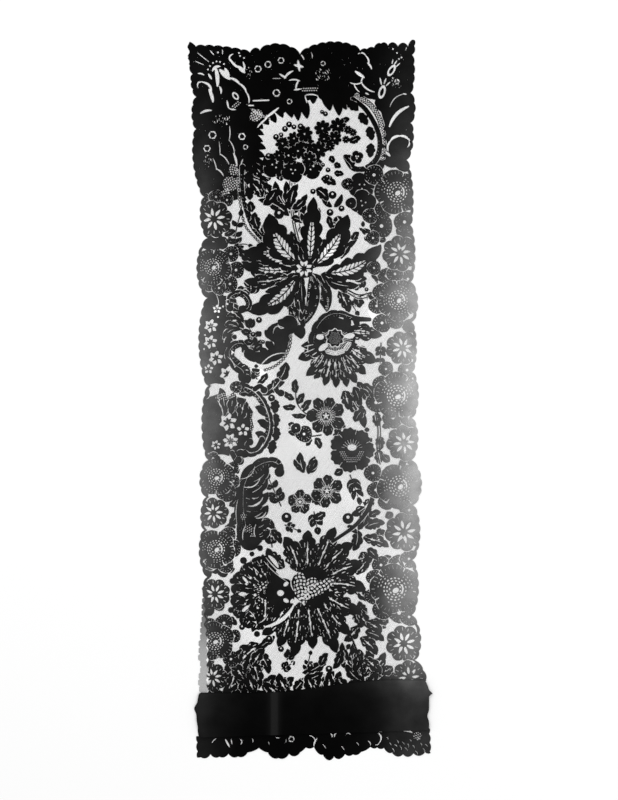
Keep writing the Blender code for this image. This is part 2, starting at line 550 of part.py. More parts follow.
LEAVES = rows(
    "x y tip_x tip_y wide sag teeth panel",
    (-42, 372, -100, 447, 16, 0.10, 4, 0.0), (-42, 378, -72, 436, 12, 0.1, 3, 0.0),
    (-42, 378, -50, 436, 11, 0.0, 3, 0.0), (-40, 384, -26, 430, 11, 0.1, 3, 0.0),
    (-38, 380, -8, 410, 9, -0.1, 3, 0.0), (-44, 366, -106, 398, 11, -0.1, 3, 0.0),
    (-40, 362, -14, 352, 8, 0.1, 2, 0.0), (42, 384, 22, 410, 6, 0.1, 0, 0.0),
    (46, 384, 62, 410, 6, -0.1, 0, 0.0), (34, 366, 42, 340, 7, 0.0, 2, 0.0),
    (46, 352, 62, 364, 6, 0.1, 0, 0.0), (-6, 352, -20, 372, 6, 0.1, 0, 0.0),
    (20, 372, 4, 392, 6, 0.1, 0, 0.0), (38, 486, 46, 472, 7, 0.0, 2, 0.0),
    (46, 470, 60, 464, 7, 0.0, 2, 0.0), (46, 452, 66, 450, 7, 0.0, 2, 0.0),
    (78, 512, 100, 522, 9, 0.1, 3, 0.0), (60, 552, 78, 560, 7, 0.1, 2, 0.0),
    (66, 484, 82, 462, 8, 0.3, 0, 0.0), (-104, 340, -112, 374, 11, 0.1, 3, 0.0),
    (-94, 330, -86, 352, 9, 0.1, 2, 0.0), (-76, 312, -60, 330, 8, 0.1, 2, 0.0),
    (-118, 374, -122, 396, 9, 0.0, 2, 0.0), (126, 260, 130, 234, 8, 0.1, 2, 0.0),
    (102, 246, 106, 222, 7, 0.0, 2, 0.0), (120, 336, 96, 342, 5, 0.1, 0, 0.0),
    (104, 344, 104, 356, 4, 0.0, 0, 0.0), (104, 340, 108, 328, 4, 0.0, 0, 0.0),
    (84, 316, 96, 334, 8, 0.1, 2, 0.0), (60, 280, 92, 318, 8, 0.1, 2, 0.0),
    (-122, 212, -146, 216, 8, 0.1, 2, 0.0), (-38, 224, -36, 134, 15, 0.05, 4, 0.0),
    (-44, 186, -20, 122, 14, 0.1, 4, 0.0), (56, 218, 76, 172, 13, 0.05, 4, 0.0),
    (92, 208, 98, 182, 10, 0.0, 3, 0.0),
    (-182, 22, -172, -34, 10, 0.05, 3, 0.0),
    (-155, 14, -161, -32, 10, 0.0, 3, 0.0), (-133, -2, -141, -42, 13, 0.0, 3, 0.0),
    (-148, 11, -102, 8, 10, 0.1, 3, 0.0), (70, 14, 108, -58, 15, 0.06, 4, 0.0),
    (92, 34, 106, 0, 9, 0.1, 3, 0.0), (104, 30, 128, 0, 9, 0.1, 3, 0.0),
    (98, 20, 118, -18, 8, 0.1, 2, 0.0), (124, -198, 80, -232, 13, 0.1, 4, 0.0),
    (113, -220, 94, -262, 11, 0.05, 4, 0.0), (108, -258, 148, -248, 12, 0.1, 4, 0.0),
    (104, -278, 156, -296, 13, 0.08, 4, 0.0), (92, -262, 84, -304, 12, 0.1, 3, 0.0),
    (104, -256, 118, -226, 9, 0.1, 3, 0.0), (116, -236, 140, -226, 8, 0.1, 2, 0.0),
    (100, -306, 108, -344, 14, 0.1, 4, 0.0), (112, -300, 132, -322, 10, 0.1, 3, 0.0),
    (88, -418, 100, -458, 16, 0.1, 4, 0.0), (112, -430, 96, -404, 10, 0.1, 3, 0.0),
    (116, -448, 150, -458, 12, 0.1, 4, 0.0), (108, -466, 146, -484, 12, 0.1, 4, 0.0),
    (102, -560, 84, -488, 14, 0.06, 5, 0.0), (100, -556, 62, -486, 13, 0.14, 5, 0.0),
    (106, -556, 116, -496, 14, -0.06, 5, 0.0), (110, -552, 148, -506, 13, -0.1, 4, 0.0),
    (104, -566, 70, -530, 12, 0.1, 4, 0.0), (118, -560, 150, -534, 13, 0.0, 4, 0.0),
    (-98, -492, -154, -560, 22, -0.14, 5, 0.0), (-110, -504, -84, -550, 13, 0.1, 4, 0.0),
    (-118, -520, -104, -580, 14, 0.05, 4, 0.0), (-140, -500, -176, -548, 14, 0.1, 4, 0.0),
    (-150, -540, -176, -590, 16, 0.1, 4, 0.0), (-130, -540, -132, -596, 17, 0.0, 4, 0.0),
    (-72, -474, -112, -504, 9, 0.0, 2, 0.0), (-92, -586, -70, -552, 12, 0.1, 3, 0.0),
    (-74, -586, -50, -556, 12, 0.0, 3, 0.0), (-54, -586, -34, -556, 11, 0.1, 3, 0.0),
    (-34, -584, -12, -558, 11, 0.0, 3, 0.0), (-10, -584, 12, -550, 12, 0.1, 3, 0.0),
    (14, -584, 26, -550, 11, 0.0, 3, 0.0), (30, -584, 46, -544, 13, 0.1, 3, 0.0),
    (48, -584, 58, -544, 11, 0.0, 3, 0.0), (64, -584, 66, -562, 9, 0.0, 2, 0.0),
    (30, -520, -18, -548, 11, 0.1, 4, 0.0), (24, -546, -20, -560, 9, 0.1, 3, 0.0),
    (20, -534, 34, -508, 9, 0.1, 3, 0.0), (128, -590, 158, -556, 14, 0.1, 3, 0.0),
    (-176, -596, -196, -580, 11, 0.1, 3, 0.0), (-36, 262, -140, 274, 22, 0.1, 5, 0.3),
    (-44, 246, -134, 236, 17, 0.06, 4, 0.0), (-80, 440, -114, 472, 15, 0.1, 4, 0.0),
    (-60, 436, -62, 480, 13, 0.0, 4, 0.0), (-34, 430, -22, 474, 12, 0.0, 3, 0.0),
    (-96, 404, -124, 442, 13, 0.0, 4, 0.0), (-70, 420, -96, 388, 12, 0.1, 3, 0.0),
    (-52, -336, -88, -298, 15, 0.1, 4, 0.0), (10, 420, 34, 396, 12, 0.1, 3, 0.0),
    (20, 440, 50, 428, 10, 0.1, 3, 0.0), (-112, 282, -146, 300, 12, 0.1, 3, 0.0),
    (-4, -196, 26, -214, 11, 0.1, 3, 0.0), (28, -226, 4, -238, 9, 0.1, 3, 0.0),
    (-30, 252, -70, 214, 16, 0.1, 4, 0.0), (-29, 12, -30, 40, 8, 0.1, 2, 0.0),
    (-33, 0, -55, 16, 7, 0.1, 2, 0.0), (-28, -10, -14, 12, 8, 0.0, 2, 0.0),
    (-31, -14, -57, -15, 7, 0.1, 2, 0.0), (-16, -26, 1, -2, 8, 0.1, 2, 0.0),
    (-10, -32, -39, -31, 6, 0.1, 2, 0.0), (8, -78, 18, -100, 8, 0.1, 2, 0.0),
    (-2, -76, -10, -94, 6, 0.1, 2, 0.0), (-14, -148, -22, -106, 10, 0.06, 2, 0.0),
    (-6, -150, 8, -114, 9, 0.0, 2, 0.0), (-18, -142, -34, -120, 6, 0.1, 2, 0.0),
    (0, -148, 14, -134, 5, 0.1, 0, 0.0), (-50, 74, -76, 30, 12, 0.14, 3, 0.0),
    (-62, 44, -100, 8, 11, 0.1, 3, 0.0), (-88, 52, -108, 30, 7, 0.1, 2, 0.0),
    (-46, -50, -26, -62, 7, 0.1, 2, 0.0), (-46, -66, -24, -76, 6, 0.1, 2, 0.0),
)
SPRIGS = rows(
    "x y tip_x tip_y pairs long wide sag out",
    (-14, 402, -22, 344, 3, 18, 5, -0.1, 44), (-152, 300, -142, 366, 3, 17, 5, 0.05, 50),
    (-152, 300, -126, 308, 1, 14, 4, 0.2, 40), (-98, 226, -134, 222, 3, 18, 5, 0.0, 44),
    (-112, 96, -128, 148, 2, 17, 5, -0.1, 50), (-108, 40, -122, 58, 2, 11, 3, 0.0, 50),
    (132, 232, 152, 262, 1, 20, 4.5, 0.1, 60), (78, 196, 90, 176, 1, 14, 5, 0.0, 50),
    (112, 200, 132, 222, 1, 12, 4, 0.0, 60),
    (140, 112, 138, 66, 3, 13, 4.4, 0.0, 50),
    (78, -152, 94, -196, 3, 24, 5, 0.0, 30), (-60, -214, -84, -160, 3, 20, 6, 0.0, 50),
    (6, -226, 12, -256, 2, 20, 7, 0.0, 36), (-52, -252, -28, -262, 2, 12, 4, 0.0, 50),
    (-78, -296, -82, -256, 3, 18, 5, 0.0, 40), (-48, -522, -36, -498, 2, 13, 5, 0.0, 50),
    (-58, -540, -40, -530, 2, 12, 5, 0.0, 50), (-10, -548, -2, -512, 2, 12, 4, 0.0, 44),
    (128, -268, 150, -272, 2, 13, 5, 0.0, 46), (60, -520, 72, -500, 1, 15, 5, 0.0, 44),
    (-124, 90, -108, 126, 1, 15, 6, 0.1, 60), (-108, 100, -122, 150, 1, 15, 6, 0.1, 30),
    (-112, 44, -110, 62, 3, 10, 4, 0.0, 60), (112, -90, 112, -66, 1, 12, 5, 0.0, 50),
    (100, 186, 92, 200, 1, 12, 5, 0.0, 50), (52, -72, 62, -58, 1, 12, 5, 0.0, 50),
)
BERRIES = rows(
    "x y r",
    (4, 415, 5.5), (43, 408, 8), (61, 381, 6), (38, 373, 7), (-64, 370, 10), (-28, 226, 5), (91, 222, 5),
    (111, 219, 4), (111, 321, 5), (138, 248, 4.5), (-116, 129, 5), (-96, 114, 4), (-49, -237, 10),
    (74, -239, 11), (46, 348, 6), (-84, -480, 7), (-60, -500, 6), (36, -540, 7), (-2, -534, 6),
    (-138, -456, 6),
    (-104, 158, 6), (-52, 540, 6), (-44, 549, 6), (-34, 544, 5), (-21, 545, 6), (13, 469, 4),
    (24, 468, 4), (34, 458, 5), (32, 443, 6), (-60, 528, 5), (-70, 524, 6), (29, 570, 5), (22, 574, 4),
    (-85, 486, 6), (4, 386, 5), (130, 318, 4),
)
SEED_FLOWERS = rows(
    "x y r petals",
    (30, -34, 38, 7), (32, -184, 32, 6), (-22, -206, 24, 5),
)
BLOSSOM_PETALS = rows(
    "x y tip_x tip_y wide sag teeth panel",
    (34, 96, 6, 40, 14, 0.06, 3, 0), (40, 90, 27, 26, 14, 0.0, 4, 0), (50, 90, 50, 22, 14, 0.0, 4, 0),
    (58, 90, 72, 24, 14, 0.0, 4, 0), (64, 94, 92, 32, 15, -0.06, 4, 0),
    (70, 100, 110, 50, 16, -0.06, 4, 0), (30, 104, -10, 46, 15, 0.08, 3, 0.2),
    (70, 108, 132, 76, 19, -0.06, 3, 0.24), (72, 134, 142, 127, 18, 0.04, 3, 0.24),
    (26, 112, -26, 80, 16, 0.06, 3, 0.24), (30, 120, -20, 106, 12, 0.06, 2, 0.2),
)
ACANTHUS = rows(
    "x y tip_x tip_y wide sag",
    (-130, -280, -82, -262, 12, -0.12), (-130, -262, -82, -240, 13, -0.12),
    (-132, -240, -86, -212, 14, -0.14), (-134, -216, -86, -186, 14, -0.14),
    (-134, -190, -88, -156, 14, -0.16), (-126, -168, -86, -134, 12, -0.16),
    (-146, -196, -164, -214, 9, 0.1), (-146, -222, -164, -252, 11, 0.1), (-148, -182, -162, -186, 8, 0.1),
    (-136, -268, -150, -290, 11, 0.1),
)
LOW_BLOSSOM = rows(
    "x y tip_x tip_y wide sag teeth",
    (30, -368, 110, -380, 22, 0.04, 4), (30, -358, 104, -330, 22, 0.06, 4),
    (20, -350, 84, -288, 22, 0.06, 5), (8, -346, 48, -256, 22, 0.0, 5), (-8, -344, -6, -262, 22, 0.0, 5),
    (-26, -346, -54, -276, 22, -0.08, 4), (26, -388, 98, -426, 22, -0.06, 4),
    (20, -396, 78, -470, 22, -0.06, 5), (8, -404, 52, -508, 23, 0.0, 5), (-6, -406, 4, -500, 22, 0.0, 5),
    (-22, -406, -34, -516, 23, 0.0, 5), (-38, -408, -66, -496, 21, 0.04, 5),
    (-50, -412, -98, -472, 18, 0.08, 4),
)
HUSK_CHAINS = rows(
    "x y angle",
    (-125, 440, -86), (-123, 412, -84), (-74, 292, -40), (84, 586, -40), (105, 560, -56), (119, 531, -76),
    (119, 497, -94), (-72, -15, -90), (-71, -43, -90), (-70, -70, -90), (-78, -96, -100), (132, -42, -86),
    (138, -88, -88), (136, -116, -90),
)


FILLERS = rows(
    "x y tip_x tip_y wide sag",
    (-176, 214, -148, 216, 8, 0.2), (-172, 200, -150, 178, 9, 0.2), (-168, 186, -140, 164, 8, 0.2),
    (-160, 168, -136, 150, 8, 0.2), (-158, 150, -134, 140, 6, 0.2), (-172, 326, -150, 336, 7, 0.1),
    (-170, 318, -142, 318, 6, -0.1), (-160, -130, -146, -150, 8, 0.1), (-170, -196, -150, -204, 9, 0.1),
    (-172, -262, -150, -256, 9, 0.1), (-168, -346, -152, -340, 7, 0.1), (-172, -440, -148, -452, 9, 0.1),
    (-170, -524, -146, -540, 10, 0.1), (-174, -436, -166, -458, 7, 0.1), (150, 318, 132, 326, 7, 0.1),
    (152, 246, 134, 248, 7, 0.1), (156, 146, 138, 140, 8, 0.1), (154, 60, 140, 72, 8, 0.1),
    (160, -44, 142, -56, 9, 0.1), (158, -124, 144, -110, 8, 0.1), (162, -226, 148, -236, 8, 0.1),
    (160, -314, 142, -322, 9, 0.1), (154, -440, 136, -446, 9, 0.1), (162, -534, 138, -548, 11, 0.1),
    (92, -352, 124, -318, 13, 0.12), (92, -372, 118, -404, 11, -0.1), (98, -420, 122, -458, 12, -0.1),
    (94, -452, 66, -484, 12, 0.1), (98, -478, 132, -512, 13, 0.1), (96, -500, 84, -544, 12, 0.1),
    (106, -520, 140, -552, 12, 0.1), (110, -448, 142, -466, 11, 0.1), (60, -500, 44, -540, 10, 0.1),
    (50, -560, 70, -584, 12, 0.1), (10, -588, -6, -548, 13, 0.12), (36, -590, 36, -546, 12, 0.0),
    (-44, -586, -64, -548, 13, 0.12), (-60, -590, -92, -566, 12, 0.1), (-110, -588, -124, -548, 14, 0.1),
    (-130, -560, -156, -520, 13, 0.1), (-116, -536, -92, -500, 12, 0.1), (70, -586, 104, -566, 12, 0.1),
    (118, -584, 134, -548, 14, 0.1), (-74, 20, -52, 34, 6, 0.1), (-20, 158, 2, 196, 7, 0.1),
    (-56, 196, -70, 216, 8, 0.1), (88, 236, 112, 240, 7, 0.1), (84, 220, 106, 226, 5, 0.1),
    (-96, -240, -74, -262, 8, 0.1), (-80, -262, -60, -290, 9, 0.1), (72, -254, 92, -270, 6, 0.1),
    (62, -140, 46, -150, 8, 0.1), (10, -120, -4, -142, 7, 0.1), (56, -60, 44, -84, 9, 0.1),
    (88, -46, 108, -20, 10, 0.1), (64, 16, 74, -22, 13, 0.1), (84, 24, 96, -14, 10, 0.1),
)


def edge_line(table, at, along_name, out_name, way):
    """An edge at each place: rounded scallops between the table's valleys, with small picots."""
    if table[0][along_name] > table[-1][along_name]:
        bulges = [row["bulge"] for row in table[:-1]][::-1] + [0]
        table = table[::-1]
    else:
        bulges = [row["bulge"] for row in table]
    places = np.array([row[along_name] for row in table], float)
    base = np.interp(at, places, np.array([row[out_name] for row in table], float))
    which = np.clip(np.searchsorted(places, at, "right") - 1, 0, len(places) - 2)
    span = places[which + 1] - places[which]
    share = (at - places[which]) / span
    scallop = np.array(bulges, float)[which] * np.sin(np.pi * np.clip(share, 0, 1)) ** 0.62
    picots = np.maximum(np.round(span / 18.0), 1)
    picot = 3.0 * np.abs(np.sin(np.pi * picots * share)) ** 0.7
    return base + way * (scallop + picot - 1.5)


def margin(x, y):
    """How far a point lies inside the panel's own edges, the lower fold left out."""
    left = edge_line(LEFT_EDGE, y, "y", "x", -1)
    right = edge_line(RIGHT_EDGE, y, "y", "x", 1)
    top = edge_line(TOP_EDGE, x, "x", "y", 1)
    return np.minimum(np.minimum(x - left, right - x), top - y)


def solid_patch(lace, x, y, a, b, power=2.6):
    """A dense patch with a lobed edge and a few specks, which other motifs lie on."""
    count = round((a + b) / 9)

    def motif(px, py):
        _, theta = polar(px, py, x, y)
        k = (np.abs((px - x) / a) ** power + np.abs((py - y) / b) ** power) ** (1 / power)
        inside = (1 - k) * min(a, b) - 3.4 * np.abs(np.sin(count * theta / 2 + 0.3))
        specks = dots(px + 9 * np.sin(py / 23), py + 8 * np.sin(px / 19), 11.0, 0.6)
        sparse = 2.0 * np.sin(px / 7.3 + py / 29) * np.sin(py / 8.9 - px / 31) + 0.4
        specks = np.maximum(np.maximum(specks, sparse), np.maximum(5 - inside, -560 - py))
        return inside, specks

    lace.lay((x - a, x + a, y - b, y + b), motif, 0.0)


def draw_borders(lace):
    for row in rows(
        "x y a b power",
        (0, -680, 300, 100, 12), (196, -580, 56, 38, 3), (0, 686, 300, 88, 9), (-196, 524, 82, 132, 6),
        (182, 560, 42, 76, 5), (-198, 116, 44, 92, 3), (-176, -52, 62, 62, 3), (-142, -556, 34, 48, 3),
        (-186, 184, 30, 24, 3),
    ):
        solid_patch(lace, row["x"], row["y"], row["a"], row["b"], row["power"])
    for row in rows(
        "x y r",
        (-92, 600, 32), (-64, 590, 20), (-38, 596, 18), (64, 606, 22), (40, 604, 14), (-128, 566, 20),
        (-112, 590, 22), (-12, 612, 16), (92, 606, 16), (-122, 470, 16), (150, 592, 22), (158, 562, 18),
        (166, 536, 18), (162, 506, 19), (160, 480, 18), (186, 474, 20), (212, 492, 18), (136, 470, 12),
        (142, 612, 16), (-128, 448, 12),
    ):
        lobe(lace, row["x"], row["y"], row["r"], 0.0, 0.0)
    for row in HANGING:
        leaf(lace, row["x"], row["y"], row["tip_x"], row["tip_y"], row["wide"], 0.06, 0, 0, 0, halo=0)


HANGING = rows(
    "x y tip_x tip_y wide",
    (-56, 600, -38, 562, 10), (-36, 600, -26, 556, 9), (-22, 604, -8, 560, 10), (2, 612, 4, 590, 7),
    (24, 612, 38, 576, 10), (46, 612, 56, 566, 10), (58, 604, 70, 578, 9), (78, 608, 66, 582, 8),
    (-76, 590, -56, 562, 8), (-132, 540, -94, 528, 8), (-132, 526, -96, 514, 8), (-130, 510, -90, 500, 9),
    (-130, 494, -92, 484, 9), (-128, 478, -90, 466, 9), (-126, 464, -88, 452, 9),
    (-122, 456, -104, 438, 7), (-110, 570, -84, 548, 9), (-118, 556, -96, 540, 8), (-88, 576, -70, 552, 8),
)


def draw_top(lace):
    trellis(lace, smooth([(92, 605), (119, 588), (138, 557), (144, 520), (143, 484)]), 5.4, 5.2, halo=1.6)
    vine(lace, smooth([(84, 600), (110, 578), (132, 540), (138, 508), (130, 479), (108, 461), (84, 462),
                       (70, 484)]), 4.4, 6, halo=1.3)
    beads(lace, smooth([(-128, 588), (-112, 576), (-98, 566), (-84, 560)]), 2.6, 5.2, hole=0.5)
    trellis(lace, smooth([(-145, 458), (-142, 428), (-140, 394), (-130, 348), (-109, 322), (-91, 303)]),
            4.4, 5.0, halo=1.0)
    vine(lace, smooth([(-137, 464), (-136, 428), (-132, 393), (-123, 362), (-110, 337), (-84, 311),
                       (-44, 286), (-26, 274)]), 5.0, 6.5)
    for row in TOP_OPENINGS:
        opening(lace, row["x"], row["y"], row["a"], row["b"], row["turn"], row["fill"], 4.6, 1.1)
    for row in TOP_SLITS:
        slit(lace, row["x"], row["y"], row["tip_x"], row["tip_y"], row["wide"], row["sag"])
    for row in EYELETS:
        eyelet(lace, row["x"], row["y"], row["r"])
    for row in BUD_RINGS:
        bud_ring(lace, row["x"], row["y"], row["a"], row["b"], row["turn"])
    berry(lace, -214, 616, 8, 0.0, halo=0.0)
    berry(lace, 186, 510, 9, 0.0, halo=0.0)
    for x, y in ((-206, 659), (-202, 666), (-196, 672), (-189, 675), (-182, 674), (-174, 670), (-144, 692),
                 (-142, 686), (-134, 682), (176, 680), (181, 683), (-186, 693), (172, 692), (164, 700)):
        opening(lace, x, y, 1.8, 1.8)


def bud_ring(lace, x, y, a, b, turn):
    """A bud drawn by a light ring with a dark heart."""
    opening(lace, x, y, a, b, turn)
    c, s = np.cos(np.radians(turn)), np.sin(np.radians(turn))
    u, v = 0.62 * a * c, 0.62 * a * s
    leaf(lace, x - u, y - v, x + u, y + v, 0.5 * b, 0, 0, 0, 0, halo=0)


def draw_field(lace):
    for row in SPRIGS:
        sprig(lace, row["x"], row["y"], row["tip_x"], row["tip_y"], row["pairs"], row["long"],
              row["wide"], row["sag"], row["out"])
    vine(lace, smooth([(-40, 448), (-40, 400), (-34, 350), (-16, 280)]), 3.0, 3.4, slit=0.3)
    vine(lace, smooth([(64, 214), (92, 206), (122, 212)]), 1.8, 1.4)
    for row in LEAVES:
        leaf(lace, row["x"], row["y"], row["tip_x"], row["tip_y"], row["wide"], row["sag"], row["teeth"],
             row["panel"], nicked=0.7 if row["wide"] > 12 else 0)
    for row in FILLERS:
        leaf(lace, row["x"], row["y"], row["tip_x"], row["tip_y"], row["wide"], row["sag"],
             3 if row["wide"] > 8 else 0, nicked=0.6 if row["wide"] > 10 else 0)
    for row in PANSIES:
        pansy(lace, row["x"], row["y"], row["r"], row["turn"])
    husks(lace, [(row["x"], row["y"]) for row in HUSK_CHAINS], 29, 10,
          [row["angle"] for row in HUSK_CHAINS])
    for row in BOUQUET:
        posy(lace, row["x"], row["y"], row["r"], row["turn"])
    for row in BERRIES:
        berry(lace, row["x"], row["y"], row["r"])


def pansy(lace, x, y, r, turn):
    """A dark flower of four round lobes with three light dots at its heart."""

    def motif(px, py):
        rho, theta = polar(px, py, x, y)
        lobes = r * (1 - 0.17 * (1 - np.abs(np.cos(2 * (theta - turn))))) - rho
        spots = np.full(px.shape, FAR)
        for k in range(3):
            a = turn + 2.1 * k
            spots = np.minimum(spots, np.hypot(px - x - 0.2 * r * np.cos(a), py - y - 0.2 * r * np.sin(a)))
        crease = np.abs(np.cos(2 * (theta - turn))) * rho / 2 - 0.5
        crease = np.maximum(crease, 0.68 * r - rho)
        return lobes, np.minimum(spots - 1.7, crease)

    lace.lay(around(x, y, r), motif)


def draw_star(lace):
    for row in rows("tip_x tip_y wide", (32, 174, 17), (2, 180, 11), (-12, 150, 13)):
        leaf(lace, 0, 250, row["tip_x"], row["tip_y"], row["wide"], 0.10, 0, 0, 0)
        for sag in (0.0, 0.20):
            beads(lace, bent(0, 244, row["tip_x"], row["tip_y"] + 6, sag, 8), 2.0, 4.2, hole=0.6, halo=0.6)
    for row in STAR_LEAVES:
        leaf(lace, row["x"], row["y"], row["tip_x"], row["tip_y"], row["wide"], row["sag"], row["teeth"],
             row["panel"])
    lobe(lace, -14, 261, 19, 0.0, halo=0.0)
    light_flower(lace, -14, 261, 17, 8, 0.4)


def draw_blossom(lace):
    for row in BLOSSOM_PETALS:
        leaf(lace, row["x"], row["y"], row["tip_x"], row["tip_y"], row["wide"], row["sag"], row["teeth"],
             row["panel"], nicked=0.75)
    vine(lace, smooth([(8, 96), (7, 122), (16, 148), (36, 167), (60, 170), (88, 161), (117, 159)]), 14, 4,
         halo=1.4)
    for row in rows(
        "x y tip_x tip_y wide",
        (10, 110, 30, 124, 9), (22, 146, 44, 142, 10), (44, 160, 58, 138, 11), (66, 162, 74, 142, 9),
        (84, 158, 96, 146, 6),
    ):
        leaf(lace, row["x"], row["y"], row["tip_x"], row["tip_y"], row["wide"], 0.1, 0, 0, 0, halo=0)

    def centre(px, py):
        rho, theta = polar(px, py, 48, 122)
        ring = np.abs(rho - 17.5 - 1.5 * np.sin(9 * theta)) - 1.1
        seeds = np.maximum(dots(px - 48, py - 122, 4.0, 0.9), rho - 13)
        rays = np.abs(np.sin(22 * theta)) * rho / 22 - 0.5
        rays = np.maximum(rays, np.maximum(18 - rho, rho - 38 - 3 * np.sin(5 * theta)))
        return 41 - rho, np.minimum(np.minimum(ring, seeds), np.maximum(rays, (py - 134) * 0.6))

    lace.lay(around(48, 122, 41), centre, 0.0)
    for angle, long, fill in ((8, 10, ""), (-34, 11, "bars"), (-72, 12, "bars"), (-106, 12, "bars"),
                              (-142, 11, ""), (176, 8, "")):
        c, s = np.cos(np.radians(angle)), np.sin(np.radians(angle))
        opening(lace, 48 + 30 * c, 122 + 30 * s, long, 5.6, angle + 90 if fill else angle, fill, 3.4, 0.45)
    for k in range(15):
        angle = np.radians(-168 + 11 * k)
        c, s = np.cos(angle), np.sin(angle)
        far = 62 + 7 * np.sin(2.3 * k)
        slit(lace, 48 + 44 * c, 118 + 44 * s, 48 + far * c, 118 + far * s, 1.0)
    for row in SEED_FLOWERS:
        seed_flower(lace, row["x"], row["y"], row["r"], row["petals"])

    def third(px, py):
        rho, theta = polar(px, py, 82, -102)
        outline = 45 * (1 - 0.12 * (1 - np.abs(np.cos(3.5 * (theta - 0.9)))))
        outline = outline * (1 + 0.03 * np.cos(23 * theta))
        eye = np.hypot((px - 82) / 1.4, py + 97) - 6.5
        below = np.maximum(np.abs(rho - 20) - 6.0, (py + 104) * 0.9)
        grain = np.maximum(below, dots(px - 80, py + 100, 3.9, 1.15))
        ring = np.maximum(np.abs(rho - 16) - 6, -(py + 98))
        rays = np.maximum(ring, np.abs(np.sin(11 * theta)) * rho / 11 - 0.5)
        gap = np.maximum(np.abs(np.sin(3.5 * (theta - 0.9) + np.pi / 2)) * rho / 3.5 - 0.6, 31 - rho)
        return outline - rho, np.minimum(np.minimum(eye, grain), np.minimum(rays, gap))

    lace.lay(around(82, -102, 46), third)


def seed_flower(lace, x, y, r, petals):
    """A ragged flower of notched petals with a light heart and fine rays."""

    def motif(px, py):
        rho, theta = polar(px, py, x, y)
        wave = petals * (theta - 0.4) / 2 + 0.25 * np.sin(2 * theta + 0.1 * x)
        ragged = 0.05 * np.abs(np.sin(3 * wave)) + 0.04 * np.sin(5 * theta + y)
        outline = r * (1 - 0.3 * (1 - np.abs(np.cos(wave)) ** 0.7) + ragged)
        rays = np.abs(np.sin(2 * petals * theta)) * rho / (2 * petals) - 0.5
        reach = r * (0.52 + 0.12 * np.sin(7 * theta + x) + 0.1 * np.cos(petals * theta))
        rays = np.maximum(rays, np.maximum(0.22 * r - rho, rho - reach))
        heart = rho - r * (0.13 + 0.06 * np.sin(5 * theta))
        seeds = np.maximum(dots(px - x, py - y, 4.4, 1.0), np.abs(rho - 0.3 * r) - 0.1 * r)
        gap = np.maximum(np.abs(np.cos(wave)) * rho * 2 / petals - 0.7, 0.5 * r - rho)
        rim = np.maximum(np.abs(np.sin(8 * theta)) * rho / 8 - 0.4, np.abs(rho - 0.76 * r) - 0.07 * r)
        light = np.minimum(np.minimum(heart, rays), np.minimum(gap, seeds))
        return outline - rho, np.minimum(light, rim)

    lace.lay(around(x, y, r * 1.15), motif)


